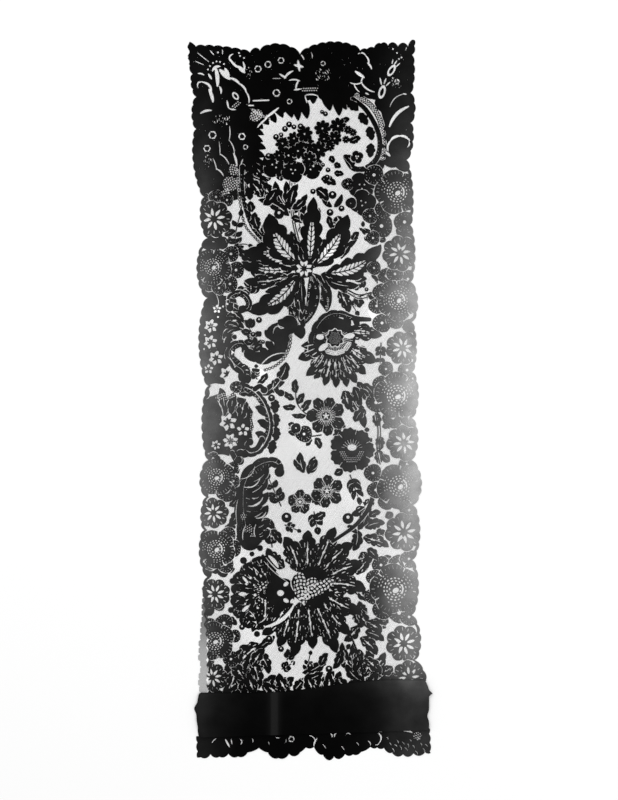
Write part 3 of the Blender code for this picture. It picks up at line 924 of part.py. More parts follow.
def draw_scrolls(lace):
    lower_scroll = [(-132, 42), (-136, 58), (-154, 72), (-163, 92), (-152, 108), (-137, 110), (-131, 98)]
    vine(lace, smooth(lower_scroll), 14, 6, ball=8)
    upper_scroll = [(-162, 182), (-160, 204), (-140, 211), (-125, 196), (-127, 182), (-137, 180)]
    vine(lace, smooth(upper_scroll), 7.5, 6, ball=8)
    lobe(lace, -153, 124, 5, 0.0)
    for row in rows(
        "x y tip_x tip_y wide sag teeth halo",
        (-172, 148, -144, 143, 9, 0.1, 2, 1.2), (-168, 166, -148, 160, 8, 0.1, 2, 1.2),
        (-176, 120, -137, 139, 7, 0.2, 2, 1.2), (-122, 142, -130, 158, 6, 0.0, 0, 1.2),
        (-120, 142, -114, 160, 6, 0.0, 0, 0), (-122, 132, -140, 136, 7, 0.0, 0, 1.2),
        (-116, 112, -134, 116, 7, 0.0, 0, 1.2), (-98, 110, -116, 96, 8, 0.0, 2, 1.2),
    ):
        leaf(lace, row["x"], row["y"], row["tip_x"], row["tip_y"], row["wide"], row["sag"], row["teeth"],
             0, 0.6, halo=row["halo"])
    crescent = [(-44, 150), (-56, 132), (-60, 104), (-80, 86), (-104, 82), (-124, 90)]
    vine(lace, smooth(crescent), 19, 11, halo=1.5, veined=False)
    lobe(lace, -68, 132, 21, 0.0, halo=0.0)
    for row in rows(
        "x y tip_x tip_y wide",
        (-74, 124, -92, 138, 8), (-74, 104, -90, 116, 8), (-86, 92, -102, 104, 7),
        (-30, 146, -20, 120, 12), (-50, 152, -66, 158, 8),
    ):
        leaf(lace, row["x"], row["y"], row["tip_x"], row["tip_y"], row["wide"], 0.1, 0, 0, 0, halo=0)
    slit(lace, -76, 130, -54, 142, 0.9, 0.4)
    slit(lace, -54, 142, -66, 150, 0.9, 0.3)
    slit(lace, -101, 66, -52, 92, 1.3, 0.14)
    beads(lace, smooth([(-40, 128), (-43, 104), (-54, 82), (-72, 66), (-92, 58)]), 3.2, 6.6, hole=0.5)
    round_band = [(-146, 28), (-116, 16), (-94, -10), (-83, -46), (-88, -78), (-108, -104), (-142, -110)]
    vine(lace, smooth(round_band), 8, 8.5, slit=0.07)
    for row in rows("x y tip_x tip_y", (-94, -34, -112, -16), (-90, -60, -108, -44), (-94, -84, -112, -68)):
        leaf(lace, row["x"], row["y"], row["tip_x"], row["tip_y"], 8, -0.2, 0, 0, 0, halo=1.2)
    vine(lace, smooth([(-98, -80), (-108, -98), (-122, -102), (-128, -92), (-122, -86)]), 5, 4, ball=7)
    vine(lace, smooth([(-68, 36), (-70, 22), (-66, 14), (-60, 12)]), 6, 4, ball=7)
    vine(lace, smooth([(8, -36), (-12, -28), (-28, -8), (-31, 20)]), 1.2, 1.0, halo=0.6)
    vine(lace, smooth([(20, -72), (-10, -74), (-44, -58)]), 1.4, 1.0, halo=0.6)
    vine(lace, smooth([(-112, 20), (-102, 26), (-94, 18)]), 5, 4, ball=7)
    berry(lace, -79, 2, 7, 0.25)
    vine(lace, smooth([(-158, -108), (-150, -122), (-142, -124)]), 5, 5, ball=8)
    for row in ACANTHUS:
        leaf(lace, row["x"], row["y"], row["tip_x"], row["tip_y"], row["wide"], row["sag"], 2, 0, 0.9, 1.2)
    acanthus = [(-122, -282), (-130, -246), (-134, -212), (-133, -178), (-122, -150), (-103, -133),
                (-80, -126), (-64, -133), (-63, -146)]
    vine(lace, smooth(acanthus), 24, 7, ball=10, halo=0)
    for row in rows(
        "x y tip_x tip_y wide sag",
        (-134, -176, -102, -160, 1.3, -0.2), (-126, -214, -96, -196, 1.5, -0.2),
        (-110, -238, -90, -226, 1.3, -0.2), (-142, -160, -112, -134, 0.8, -0.2),
        (-148, -250, -146, -200, 0.8, 0.06), (-136, -282, -130, -252, 1.0, 0.1),
        (-112, -276, -110, -250, 1.0, 0.1), (-188, -2, -176, -36, 0.9, 0.1),
        (-166, 84, -152, 62, 0.9, 0.1), (-190, 209, -189, 178, 0.8, 0.15),
        (-174, 112, -170, 124, 1.0, 0.1), (-220, 24, -222, -20, 0.8, 0.05), (-60, 40, -78, 18, 0.8, 0.05),
    ):
        slit(lace, row["x"], row["y"], row["tip_x"], row["tip_y"], row["wide"], row["sag"])
    for row in rows(
        "x y a b turn fill",
        (-135, -234, 7, 7, 0, "dots"), (-124, -260, 9, 7, 30, "dots"), (-116, -272, 6, 5, 0, "dots"),
        (-166, 7, 26, 8, 10, "lattice"), (-112, -2, 8, 6, 20, "lattice"), (-116, -52, 6, 26, 4, "lattice"),
        (-140, 190, 7, 3.5, 10, ""), (-160, -84, 14, 8, 0, "dots"), (-196, 148, 8, 5, 0, "dots"),
    ):
        opening(lace, row["x"], row["y"], row["a"], row["b"], row["turn"], row["fill"], 4.2, 0.9)
    for x, y in ((-167, 190), (-176, 185), (-184, 175), (-186, 164), (-214, 100), (-212, 128)):
        opening(lace, x, y, 2.0, 2.0)
    berry(lace, -102, -298, 6, 0.0)
    berry(lace, -145, -122, 7, 0.0)
    for x, y, r in ((-135, -323, 7), (-157, -364, 6), (-160, -422, 6), (-118, -310, 5), (-108, -470, 6)):
        berry(lace, x, y, r, 0.0)
    vine(lace, smooth([(43, -285), (86, -255), (112, -224), (124, -196)]), 3.2, 5)
    vine(lace, smooth([(128, -22), (134, -62), (132, -100), (138, -130)]), 1.3, 1.3)
    vine(lace, smooth([(133, -22), (139, -62), (137, -100), (141, -126)]), 1.0, 1.0, halo=0.8)
    vine(lace, smooth([(78, -470), (92, -504), (102, -540), (106, -576)]), 1.6, 2.6, halo=0.6)
    vine(lace, smooth([(74, 218), (96, 208), (124, 214)]), 1.6, 1.2)
    vine(lace, smooth([(74, 212), (96, 201), (122, 206)]), 1.2, 1.0)


def draw_low_blossom(lace):
    for row in LOW_BLOSSOM:
        leaf(lace, row["x"], row["y"], row["tip_x"], row["tip_y"], row["wide"], row["sag"], row["teeth"], 0.0,
             vein=0.8, halo=0.9, nicked=0.74)
    for row in rows(
        "x y r",
        (-84, -330, 20), (-104, -334, 20), (-124, -344, 18), (-140, -360, 17), (-146, -380, 14),
        (-146, -404, 15), (-140, -424, 17), (-126, -442, 17), (-106, -446, 16), (-90, -440, 14),
        (-98, -390, 50),
    ):
        lobe(lace, row["x"], row["y"], row["r"], 0.0, halo=0.0)
    for tip_x, tip_y in ((-96, -310), (-116, -318), (-136, -332), (-152, -350), (-160, -374), (-162, -396),
                         (-158, -418), (-150, -438), (-136, -456), (-118, -466), (-98, -462)):
        leaf(lace, -92, -390, tip_x, tip_y, 17, 0.05, 2, 0, 0.9, 0.8, 0.9)
    lobe(lace, -60, -388, 30, 0.0, halo=0.0)
    lobe(lace, 0, -374, 40, 0.0, halo=0.0)
    for row in rows(
        "x y a b turn fill",
        (12, -380, 38, 13, 30, "lattice"), (-19, -378, 15, 32, 8, "lattice"),
        (2, -366, 12, 9, 12, "lattice"), (-61, -388, 7, 6, 0, ""), (-50, -370, 6, 4, 40, ""),
        (-50, -403, 6, 4, -30, ""), (-38, -404, 5, 3, 60, ""), (-137, -390, 8, 4, 0, ""),
        (-131, -362, 9, 2.6, -50, ""), (-131, -419, 9, 3.4, 40, ""), (-97, -375, 17, 4.6, 42, "dots"),
        (-96, -404, 14, 4.2, -28, "dots"), (-112, -392, 3, 3, 0, ""), (-100, -354, 2, 2, 0, ""),
        (-92, -350, 2, 2, 0, ""), (-114, -372, 2, 2, 0, ""), (-106, -418, 2, 2, 0, ""),
    ):
        opening(lace, row["x"], row["y"], row["a"], row["b"], row["turn"], row["fill"], 7.2, 1.2)
    for row in rows(
        "x y tip_x tip_y wide sag",
        (-92, -456, -34, -412, 3.6, -0.12), (-90, -317, -40, -362, 1.2, -0.05),
        (-84, -314, -66, -336, 4.0, 0.05), (-40, -362, -34, -384, 1.2, -0.1),
        (-94, -324, -46, -366, 0.8, -0.05), (-116, -336, -104, -348, 0.9, 0.0),
        (-124, -424, -112, -440, 0.9, 0.1), (-86, -430, -104, -448, 0.8, 0.1),
    ):
        slit(lace, row["x"], row["y"], row["tip_x"], row["tip_y"], row["wide"], row["sag"])


def draw_edges(lace):
    for row in ROUND_LOBES:
        lobe(lace, row["x"], row["y"], row["r"])
    for row in DAISIES:
        daisy(lace, row["x"], row["y"], row["r"], 8, row["turn"])
    for row in ROSES:
        rose(lace, row["x"], row["y"], row["r"], row["turn"])
    for row in LIGHT_FLOWERS:
        light_flower(lace, row["x"], row["y"], row["r"], row["petals"])


def draw_end(lace):
    """The light lines between the motifs of the end that shows below the fold."""
    for row in rows(
        "x y tip_x tip_y wide sag",
        (-198, -688, -189, -679, 0.8, 0.1), (-171, -681, -163, -696, 1.8, 0), (-160, -680, -158, -690, 1, 0),
        (-142, -680, -141, -691, 1.1, 0.3), (-118, -679, -117, -687, 0.9, 0.2), (-70, -677, -63, -678, 1, 0),
        (-50, -680, -52, -687, 0.7, 0.2), (-4, -673, 9, -686, 0.9, 0.2), (6, -694, 12, -679, 1.7, 0.1),
        (39, -669, 42, -676, 1.3, 0.2), (51, -668, 47, -676, 1.2, -0.2), (70, -671, 79, -671, 0.9, 0.3),
        (129, -664, 142, -665, 2.6, 0.1), (135, -668, 138, -686, 1.6, 0.2), (138, -684, 128, -692, 0.9, 0.2),
        (114, -684, 119, -693, 0.9, 0.2), (186, -664, 202, -667, 2.0, 0.1), (-86, -684, -84, -692, 0.6, 0.1),
        (22, -690, 30, -700, 0.6, 0.1), (60, -694, 66, -702, 0.6, 0.1), (90, -686, 96, -694, 0.6, 0.1),
    ):
        slit(lace, row["x"], row["y"], row["tip_x"], row["tip_y"], row["wide"], row["sag"])
    eyelet(lace, -39, -680, 6)
    opening(lace, 213, -674, 9, 8, 20, "dots", 4.4, 0.9)
    for k in range(16):
        x = 151 + 5.1 * k
        y = -676 - 6 * (k % 3) - 5 * (k % 4)
        slit(lace, x, y, x + 3 + k % 4, y - 5 - 2 * (k % 3), 0.6, 0.2)


def draw_rim(lace):
    """The firm edge that the outer scallops share."""
    x, y = np.meshgrid(lace.x, lace.y)
    lace.height = np.maximum(lace.height, RIM - margin(x, y))


def draw(lace):
    """Lays the whole pattern, the lower motifs first."""
    draw_borders(lace)
    draw_end(lace)
    draw_top(lace)
    draw_field(lace)
    draw_star(lace)
    draw_low_blossom(lace)
    draw_blossom(lace)
    draw_scrolls(lace)
    draw_edges(lace)
    draw_rim(lace)

END_EDGE = rows(
    "x y bulge",
    (-250, -708, 4), (-222, -710, 4), (-201, -711, 6), (-165, -710, 7), (-127, -708, -1), (-104, -699, -1),
    (-86, -708, 10), (-44, -710, 4), (-22, -708, -2), (-10, -698, 0), (6, -697, 3), (24, -712, 7),
    (46, -716, 5), (68, -711, 3), (100, -707, -1), (119, -697, 0), (146, -699, 2), (162, -708, 4),
    (184, -711, 4), (205, -709, 4), (228, -707, 2), (244, -704, 0),
)

PLIES = rows(
    "low top left right",
    (0.0, 0.0, 0.0, 0.0), (-1.1, -0.5, 1.4, -1.0), (-0.4, -1.3, -0.6, 1.2), (-1.4, -0.4, 1.0, -0.4),
    (-0.7, -1.2, -0.8, 0.8),
)


def band_top(x):
    """The fold's upper edge. It lies higher at the right, where a second fold comes out from under it."""
    t = np.clip((x + 110) / 270, 0, 1)
    return BAND_TOP_LEFT + (BAND_TOP_RIGHT - BAND_TOP_LEFT) * t * t * (3 - 2 * t)


def band_low(x):
    return np.interp(x, (LEFT, RIGHT), (BAND_LOW_LEFT, BAND_LOW_RIGHT))


def end_edge(x):
    return edge_line(END_EDGE, x, "x", "y", -1)


def panel_foot(x):
    """Where the upper stretch of lace meets the fold."""
    return band_top(x) + SEAM


def end_head(x):
    """Where the end of the stole comes out from under the fold."""
    return band_low(x) - SEAM


def shifted(mask, lines, columns):
    return np.roll(np.roll(mask, lines, 0), columns, 1)


def spread(mask, r):
    """The mask grown by r cells."""
    grown = mask.copy()
    for lines in range(-r, r + 1):
        for columns in range(-r, r + 1):
            if lines * lines + columns * columns <= r * r + 1:
                grown |= shifted(mask, lines, columns)
    return grown


def softened(values):
    """The mean of each cell and its near neighbours."""
    for axis in (0, 1):
        values = (np.roll(values, 1, axis) + 2 * values + np.roll(values, -1, axis)) / 4
    return values


def patches(mask):
    """Numbers the connected patches of a mask, from 1."""
    parent = [0]

    def root(k):
        while parent[k] != k:
            parent[k] = parent[parent[k]]
            k = parent[k]
        return k

    found = np.zeros(mask.shape, int)
    before = []
    for line, cells in enumerate(mask):
        steps = np.flatnonzero(np.diff(np.concatenate(([0], cells.astype(np.int8), [0]))))
        now = []
        for start, stop in zip(steps[::2], steps[1::2]):
            number = 0
            for low, high, other in before:
                if low < stop and start < high:
                    other = root(other)
                    if number and other != number:
                        parent[max(other, number)] = min(other, number)
                    number = min(other, number) if number else other
            if not number:
                number = len(parent)
                parent.append(number)
            now.append((start, stop, number))
            found[line, start:stop] = number
        before = now
    final = np.array([root(k) for k in range(len(parent))])
    return final[found]


def nearest_cells(one, other):
    """The cell of each mask that lies nearest to the other mask."""
    a = np.argwhere(one)
    b = np.argwhere(other)
    near = 60
    low = a.min(0) - near
    high = a.max(0) + near
    b = b[((b >= low) & (b <= high)).all(1)]
    a = a[:: max(1, len(a) // 400)]
    apart = ((a[:, None] - b[None]) ** 2).sum(2)
    best = np.unravel_index(apart.argmin(), apart.shape)
    return a[best[0]], b[best[1]]


def join_islands(cloth):
    """Drops the smallest loose motifs and ties each of the others to the rest by a short bar."""
    while True:
        number = patches(cloth)
        sizes = np.bincount(number.reshape(-1))
        sizes[0] = 0
        main = sizes.argmax()
        loose = [k for k in np.flatnonzero(sizes) if k != main]
        if not loose:
            return cloth
        for k in loose:
            if sizes[k] * GRID**2 < LEAST_ISLAND_AREA:
                cloth = cloth & (number != k)
        big = [k for k in loose if sizes[k] * GRID**2 >= LEAST_ISLAND_AREA]
        if not big:
            return cloth
        body = number == main
        beside = shifted(body, 1, 0) & shifted(body, -1, 0)
        rim = body & ~(beside & shifted(body, 0, 1) & shifted(body, 0, -1))
        for k in big:
            island = number == k
            edge = island & ~(shifted(island, 1, 0) & shifted(island, -1, 0)
                              & shifted(island, 0, 1) & shifted(island, 0, -1))
            start, stop = nearest_cells(edge, rim)
            lines, columns = np.mgrid[0:cloth.shape[0], 0:cloth.shape[1]]
            way = (stop - start).astype(float)
            t = ((lines - start[0]) * way[0] + (columns - start[1]) * way[1]) / max(way @ way, 1.0)
            t = np.clip(t, 0, 1)
            apart = np.hypot(lines - start[0] - t * way[0], columns - start[1] - t * way[1])
            cloth = cloth | (apart * GRID <= BRIDE)


def solid_cloth(lace, inside):
    """Where the wall stands: all inside the edge but the larger gaps of the pattern."""
    cloth = softened((lace.height > 0).astype(float)) > 0.5
    cloth |= inside < 5.0
    gaps = ~cloth
    r = int(round(SMALLEST_GAP / 2 / GRID))
    gaps = spread(~spread(~gaps, r), r) & gaps
    cloth = join_islands(~gaps)
    gaps = ~cloth
    gaps = spread(~spread(~gaps, r), r) & gaps
    number = patches(gaps)
    sizes = np.bincount(number.reshape(-1)) * GRID**2
    sizes[0] = 0
    order = [k for k in np.argsort(-sizes)[:MOST_GAPS] if sizes[k] > LEAST_GAP_AREA]
    return ~np.isin(number, order)


def outlines(field, x, y, keep_apart=0.6):
    """Closed loops at height 0 of a grid, with the filled side on the left of each."""
    near = keep_apart * np.abs(field).max()
    field = np.where(field > 0, np.maximum(field, near), np.minimum(field, -near))
    field[0] = field[-1] = field[:, 0] = field[:, -1] = -near
    filled = field > 0
    corner = (filled[:-1, :-1] * 1 + filled[:-1, 1:] * 2 + filled[1:, 1:] * 4 + filled[1:, :-1] * 8)
    # Each cell's sides are 0 low, 1 right, 2 high, 3 left. A run enters by one and leaves by another.
    runs = {1: ((0, 3),), 2: ((1, 0),), 3: ((1, 3),), 4: ((2, 1),), 5: ((0, 1), (2, 3)), 6: ((2, 0),),
            7: ((2, 3),), 8: ((3, 2),), 9: ((0, 2),), 10: ((1, 2), (3, 0)), 11: ((1, 2),), 12: ((3, 1),),
            13: ((0, 1),), 14: ((3, 0),)}
    after = {}
    for line, column in np.argwhere((corner > 0) & (corner < 15)):
        sides = ((0, line, column), (1, line, column + 1), (0, line + 1, column), (1, line, column))
        for enter, leave in runs[corner[line, column]]:
            after[sides[enter]] = sides[leave]

    def place(side):
        kind, line, column = side
        a = field[line, column]
        b = field[line + 1, column] if kind else field[line, column + 1]
        t = a / (a - b)
        if kind:
            return x[column], y[line] + t * (y[line + 1] - y[line])
        return x[column] + t * (x[column + 1] - x[column]), y[line]

    loops = []
    while after:
        start, step = after.popitem()
        loop = [start]
        while step != start:
            loop.append(step)
            step = after.pop(step)
        loops.append(np.array([place(side) for side in loop]))
    return loops


def trimmed(loop, most):
    """The loop with fewer points, none of its old points farther than most from it."""
    far = ((loop - loop[0]) ** 2).sum(1).argmax()
    keep = {0, int(far)}
    work = [(0, int(far)), (int(far), len(loop))]
    ring = np.concatenate([loop, loop[:1]])
    while work:
        a, b = work.pop()
        if b - a < 2:
            continue
        way = ring[b] - ring[a]
        between = ring[a + 1:b] - ring[a]
        size = np.hypot(*way)
        if size < 1e-9:
            off = np.hypot(*between.T)
        else:
            off = np.abs(way[0] * between[:, 1] - way[1] * between[:, 0]) / size
        k = int(off.argmax())
        if off[k] > most:
            middle = a + 1 + k
            keep.add(middle)
            work += [(a, middle), (middle, b)]
    return loop[sorted(keep)]


def area_of(loop):
    x, y = loop.T
    return 0.5 * (x * np.roll(y, -1) - np.roll(x, -1) * y).sum()


def plate(name, loops, thick, low, material):
    """A flat wall with holes: a filled 2D curve with the thickness of the cloth."""
    curve = bpy.data.curves.new(name, "CURVE")
    curve.dimensions = "2D"
    curve.fill_mode = "BOTH"
    curve.extrude = thick / 2 * MM
    for loop in loops:
        spline = curve.splines.new("POLY")
        spline.points.add(len(loop) - 1)
        for point, (x, y) in zip(spline.points, loop):
            point.co = (x * MM, y * MM, 0, 1)
        spline.use_cyclic_u = True
    made = bpy.data.objects.new(name, curve)
    made.location = (SHIFT_X * MM, SHIFT_Y * MM, (low + thick / 2) * MM)
    curve.materials.append(material)
    return made


def lace_wall(lace, inside, seam):
    """The outline and gap loops of a stretch of lace, straight where it meets the fold."""
    inner = solid_cloth(lace, inside)
    soft = softened(softened(inner.astype(float))) * 2 - 1
    edge = np.clip(inside / (2 * GRID), -1, 1)
    height = np.minimum(soft, edge)[::COARSE, ::COARSE]
    number = patches(height > 0)
    sizes = np.bincount(number.reshape(-1))
    sizes[0] = 0
    height = np.where((number > 0) & (number != sizes.argmax()), -1.0, height)
    loops = outlines(height, lace.x[::COARSE], lace.y[::COARSE])
    for loop in loops:
        near = np.abs(loop[:, 1] - seam(loop[:, 0])) < 2.4
        loop[near, 1] = seam(loop[near, 0])
    loops = [trimmed(loop, TRIM) for loop in loops]
    return [loop for loop in loops if len(loop) > 2 and abs(area_of(loop)) > 6]


def band_ring(level, inset):
    """One outline of the folded band, from its lower left corner and round to the left."""
    ply = PLIES[level]
    across = np.linspace(0, 1, 40, endpoint=False)
    up = np.linspace(0, 1, 16, endpoint=False)
    wavy = 0.3 if level else 0.0

    def left(u):
        bulge = 6 * np.sin(np.pi * u) ** 0.6 + 5 * np.exp(-(((u - 0.66) / 0.12) ** 2))
        return LEFT + 29 - ply["left"] + inset - bulge - 0.8 * np.sin(12 * u + level)

    def right(u):
        dent = 3.5 * np.exp(-(((u - 0.29) / 0.1) ** 2)) + 7 * np.clip((u - 0.8) / 0.2, 0, 1) ** 1.5
        return RIGHT - 7 - dent + 5 * np.exp(-(((u - 0.74) / 0.06) ** 2)) + ply["right"] - inset

    def wave(t):
        return wavy * np.sin(9 * t + 1.9 * level) * np.sin(np.pi * t)

    low_out = ply["low"] - inset
    top_out = ply["top"] - inset
    low_x = left(0) + (right(0) - left(0)) * across
    top_x = right(1) + (left(1) - right(1)) * across
    low_end, low_start = band_low(right(0)) - low_out, band_low(left(0)) - low_out
    top_end, top_start = band_top(right(1)) + top_out, band_top(left(1)) + top_out
    return np.concatenate([
        np.stack((low_x, band_low(low_x) - low_out - wave(across)), 1),
        np.stack((right(up), low_end + (top_end - low_end) * up), 1),
        np.stack((top_x, band_top(top_x) + top_out + wave(across)), 1),
        np.stack((left(1 - up), top_start + (low_start - top_start) * up), 1),
    ])


def folded_band(name, material):
    """The hidden layers as one solid, its sides rounded and stepped where one fold lies on another."""
    rings = []
    for level in range(BAND_LEVELS):
        for share, inset in ((0.0, 0.9), (0.3, 0.1), (0.7, 0.1), (1.0, 0.9)):
            if share == 0.0 and level:
                continue
            height = (level + share) * BAND_PLY
            ring = band_ring(level, inset)
            rings.append(np.column_stack((ring, np.full(len(ring), height))))
    points = np.concatenate(rings) * MM
    count = len(rings[0])
    faces = [list(range(count))[::-1], [len(points) - count + k for k in range(count)]]
    for ring in range(len(rings) - 1):
        for k in range(count):
            a, b = ring * count + k, ring * count + (k + 1) % count
            faces.append([a, b, b + count, a + count])
    mesh = bpy.data.meshes.new(name)
    mesh.from_pydata(points.tolist(), [], faces)
    mesh.materials.append(material)
    made = bpy.data.objects.new(name, mesh)
    made.location = (SHIFT_X * MM, SHIFT_Y * MM, 0)
    return made


def cloth_material(name, colour):
    material = bpy.data.materials.new(name)
    material.use_nodes = True
    shader = material.node_tree.nodes["Principled BSDF"]
    shader.inputs["Base Color"].default_value = (*colour, 1)
    shader.inputs["Roughness"].default_value = 0.85
    material.diffuse_color = (*colour, 1)
    return material


def main():
    for left_over in list(bpy.data.objects):
        bpy.data.objects.remove(left_over)
    home = bpy.data.collections.new("stole")
    bpy.context.scene.collection.children.link(home)

    lace = Lace(GRID)
    draw(lace)
    x, y = np.meshgrid(lace.x, lace.y)
    sides = margin(x, y)
    panel = lace_wall(lace, np.minimum(sides, y - panel_foot(x)), panel_foot)
    end_sides = np.minimum(x - LEFT - 20, RIGHT - 4 - x)
    end = lace_wall(lace, np.minimum(np.minimum(end_sides, y - end_edge(x)), end_head(x) - y), end_head)

    black = cloth_material("lace_black", (0.012, 0.012, 0.013))
    home.objects.link(plate("lace_panel", panel, WALL, 0.0, black))
    end_black = cloth_material("lace_end_black", (0.010, 0.010, 0.011))
    home.objects.link(plate("lace_end", end, WALL, 0.0, end_black))
    home.objects.link(folded_band("folded_band", cloth_material("fold_black", (0.006, 0.006, 0.007))))
    print("loops", len(panel), len(end), "points", sum(map(len, panel)), sum(map(len, end)))


main()
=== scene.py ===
"""The dressed stole: fine lace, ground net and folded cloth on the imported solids, seen from above."""

import functools
import math

import bpy
import numpy as np
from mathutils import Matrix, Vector
from mathutils.geometry import delaunay_2d_cdt


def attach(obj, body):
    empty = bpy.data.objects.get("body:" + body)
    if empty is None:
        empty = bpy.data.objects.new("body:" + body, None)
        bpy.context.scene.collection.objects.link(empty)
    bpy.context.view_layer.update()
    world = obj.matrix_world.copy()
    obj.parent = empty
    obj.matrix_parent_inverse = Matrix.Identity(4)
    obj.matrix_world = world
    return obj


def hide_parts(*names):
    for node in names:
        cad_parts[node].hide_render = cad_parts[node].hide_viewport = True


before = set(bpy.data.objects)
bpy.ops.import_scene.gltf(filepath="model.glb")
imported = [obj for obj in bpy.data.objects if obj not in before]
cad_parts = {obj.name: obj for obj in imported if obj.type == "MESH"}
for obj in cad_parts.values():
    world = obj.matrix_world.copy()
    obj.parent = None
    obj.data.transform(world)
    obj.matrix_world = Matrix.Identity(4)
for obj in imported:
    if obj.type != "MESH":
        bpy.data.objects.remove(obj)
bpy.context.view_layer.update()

# Lengths are in mm, with the pattern's own zero. The shifts bring them to the frame's zero.
MM = 0.001
SHIFT_X = 4.52
SHIFT_Y = 1.14
LEFT = -250.0
RIGHT = 242.0
LOW = -722.0
HIGH = 722.0
EDGE_ROOM = 8.0

# The grid that the thread is drawn on, and how much of its outline is smoothed away.
GRID = 0.8
TRIM = 0.10
INNER_PITCH = 9.0
INNER_DEPTH = 0.8
LEAST_AREA = 0.5
SOFT_EDGE = 2.5

# Where the fold crosses the stole, and how far the lace runs in under it.
BAND_TOP_LEFT = -587.0
BAND_TOP_RIGHT = -561.0
BAND_LOW_LEFT = -678.0
BAND_LOW_RIGHT = -662.0
TUCKED = 3.0

# Heights over the floor, and the six-sided net.
CLOTH_HIGH = 0.75
UNDER_HIGH = 0.35
NET_HIGH = 0.45
NET_PITCH = 2.7
NET_THREAD = 0.25
NET_TILT = 0.12
NET_SPAN = 1500.0
NET_OVERLAP = 0.6
NET_SPLIT = 90.0

# FAR stands for no thread near by. HALO is the clear line round a motif, RIM the firm outer edge. Dense cloth
# has specks only above SPECKS_END.
FAR = 1000.0
HALO = 1.4
RIM = 6.0
SPECKS_END = -560.0

# The photograph's height in pixels, the size of one pixel on the cloth, and the camera over its middle.
IMAGE_HIGH = 800
PIXEL_MM = 2.0
VIEW_X = SHIFT_X - 4.0
VIEW_Y = SHIFT_Y - 2.0
LENS = 85.0
SENSOR = 36.0
FLOOR_HALF = 6000.0


def least(*fields):
    """The lowest of several fields at each place: what they share."""
    return functools.reduce(np.minimum, fields)


def most(*fields):
    """The highest of several fields at each place: all that any of them fills."""
    return functools.reduce(np.maximum, fields)


def rows(columns, *table):
    """The rows of a table as dicts by named column. Last values that a row leaves out are 0."""
    names = columns.split()
    return [dict(zip(names, (*row, *[0] * len(names)))) for row in table]


class Lace:
    """A grid over the cloth, in mm. Its height is above 0 where thread covers the ground."""

    def __init__(self, step):
        self.step = step
        self.x = np.arange(LEFT - EDGE_ROOM, RIGHT + EDGE_ROOM, step)
        self.y = np.arange(LOW - EDGE_ROOM, HIGH + EDGE_ROOM, step)
        self.height = np.full((len(self.y), len(self.x)), -FAR)

    def lay(self, reach, motif, halo=HALO):
        """Lays one motif over the others, with a broken line of clear ground round it."""
        left, right, low, high = reach
        room = halo + 2 * self.step
        columns = slice(*np.searchsorted(self.x, (left - room, right + room)))
        lines = slice(*np.searchsorted(self.y, (low - room, high + room)))
        x, y = np.meshgrid(self.x[columns], self.y[lines])
        if not x.size:
            return
        inside, thread = motif(x, y)
        under = self.height[lines, columns]
        if halo:
            line = halo * (0.66 + 0.6 * np.sin(0.21 * x + 0.16 * y) * np.sin(0.19 * y - 0.13 * x))
            under = np.where(line > 0.3, least(under, -inside - line), under)
        self.height[lines, columns] = most(under, least(inside, thread))

    def cut(self, reach, motif):
        """Opens the ground inside a shape, and leaves the thread that the shape holds."""
        left, right, low, high = reach
        columns = slice(*np.searchsorted(self.x, (left, right)))
        lines = slice(*np.searchsorted(self.y, (low, high)))
        x, y = np.meshgrid(self.x[columns], self.y[lines])
        if not x.size:
            return
        inside, thread = motif(x, y)
        here = self.height[lines, columns]
        self.height[lines, columns] = least(here, most(-inside, thread))


def around(x, y, r):
    """The left, right, low and high limits of a round."""
    return (x - r, x + r, y - r, y + r)


def polar(px, py, x, y):
    """Distance and angle of points from a middle."""
    return np.hypot(px - x, py - y), np.arctan2(py - y, px - x)


def spokes(rho, theta, count, wide):
    """Distance to twice count fine lines that run out from a middle."""
    return np.abs(np.sin(count * theta)) * rho / count - wide


def dots(u, v, pitch, r):
    """Distance to the nearest of a staggered set of dots."""
    line = np.floor(v / pitch)
    shift = 0.5 * pitch * (line % 2)
    return np.hypot((u + shift) % pitch - pitch / 2, v % pitch - pitch / 2) - r


def bent(x, y, tip_x, tip_y, sag=0.0, count=12):
    """Points of a curve between two ends that bows to its left by sag of its length."""
    t = np.linspace(0, 1, count + 1)[:, None]
    first = np.array((x, y), float)
    last = np.array((tip_x, tip_y), float)
    across = np.array((first[1] - last[1], last[0] - first[0]))
    middle = (first + last) / 2 + 2 * sag * across
    return (1 - t) ** 2 * first + 2 * t * (1 - t) * middle + t**2 * last


def smooth(points, per=6):
    """A rounded path through a few points."""
    p = np.array([points[0], *points, points[-1]], float)
    t = np.linspace(0, 1, per, endpoint=False)[:, None]
    runs = []
    for a, b, c, d in zip(p, p[1:], p[2:], p[3:]):
        runs.append(
            0.5 * (2 * b + (c - a) * t + (2 * a - 5 * b + 4 * c - d) * t**2
                   + (3 * b - a - 3 * c + d) * t**3)
        )
    return np.concatenate([*runs, p[-1:]])


def along(px, py, path):
    """How far each point is from a path, where along it from 0 to 1, and on which side."""
    away = np.full(px.shape, FAR)
    t = np.zeros(px.shape)
    side = np.ones(px.shape)
    count = len(path) - 1
    for k in range(count):
        ax, ay = path[k]
        dx, dy = path[k + 1] - path[k]
        s = np.clip(((px - ax) * dx + (py - ay) * dy) / (dx * dx + dy * dy + 1e-9), 0, 1)
        gap = np.hypot(px - ax - s * dx, py - ay - s * dy)
        nearer = gap < away
        away = np.where(nearer, gap, away)
        t = np.where(nearer, (k + s) / count, t)
        side = np.where(nearer, np.sign(dx * (py - ay) - dy * (px - ax)), side)
    return away, t, away * side


def reach_of(path, wide):
    """The left, right, low and high limits of a path with some width."""
    low = path.min(0) - wide
    high = path.max(0) + wide
    return (low[0], high[0], low[1], high[1])


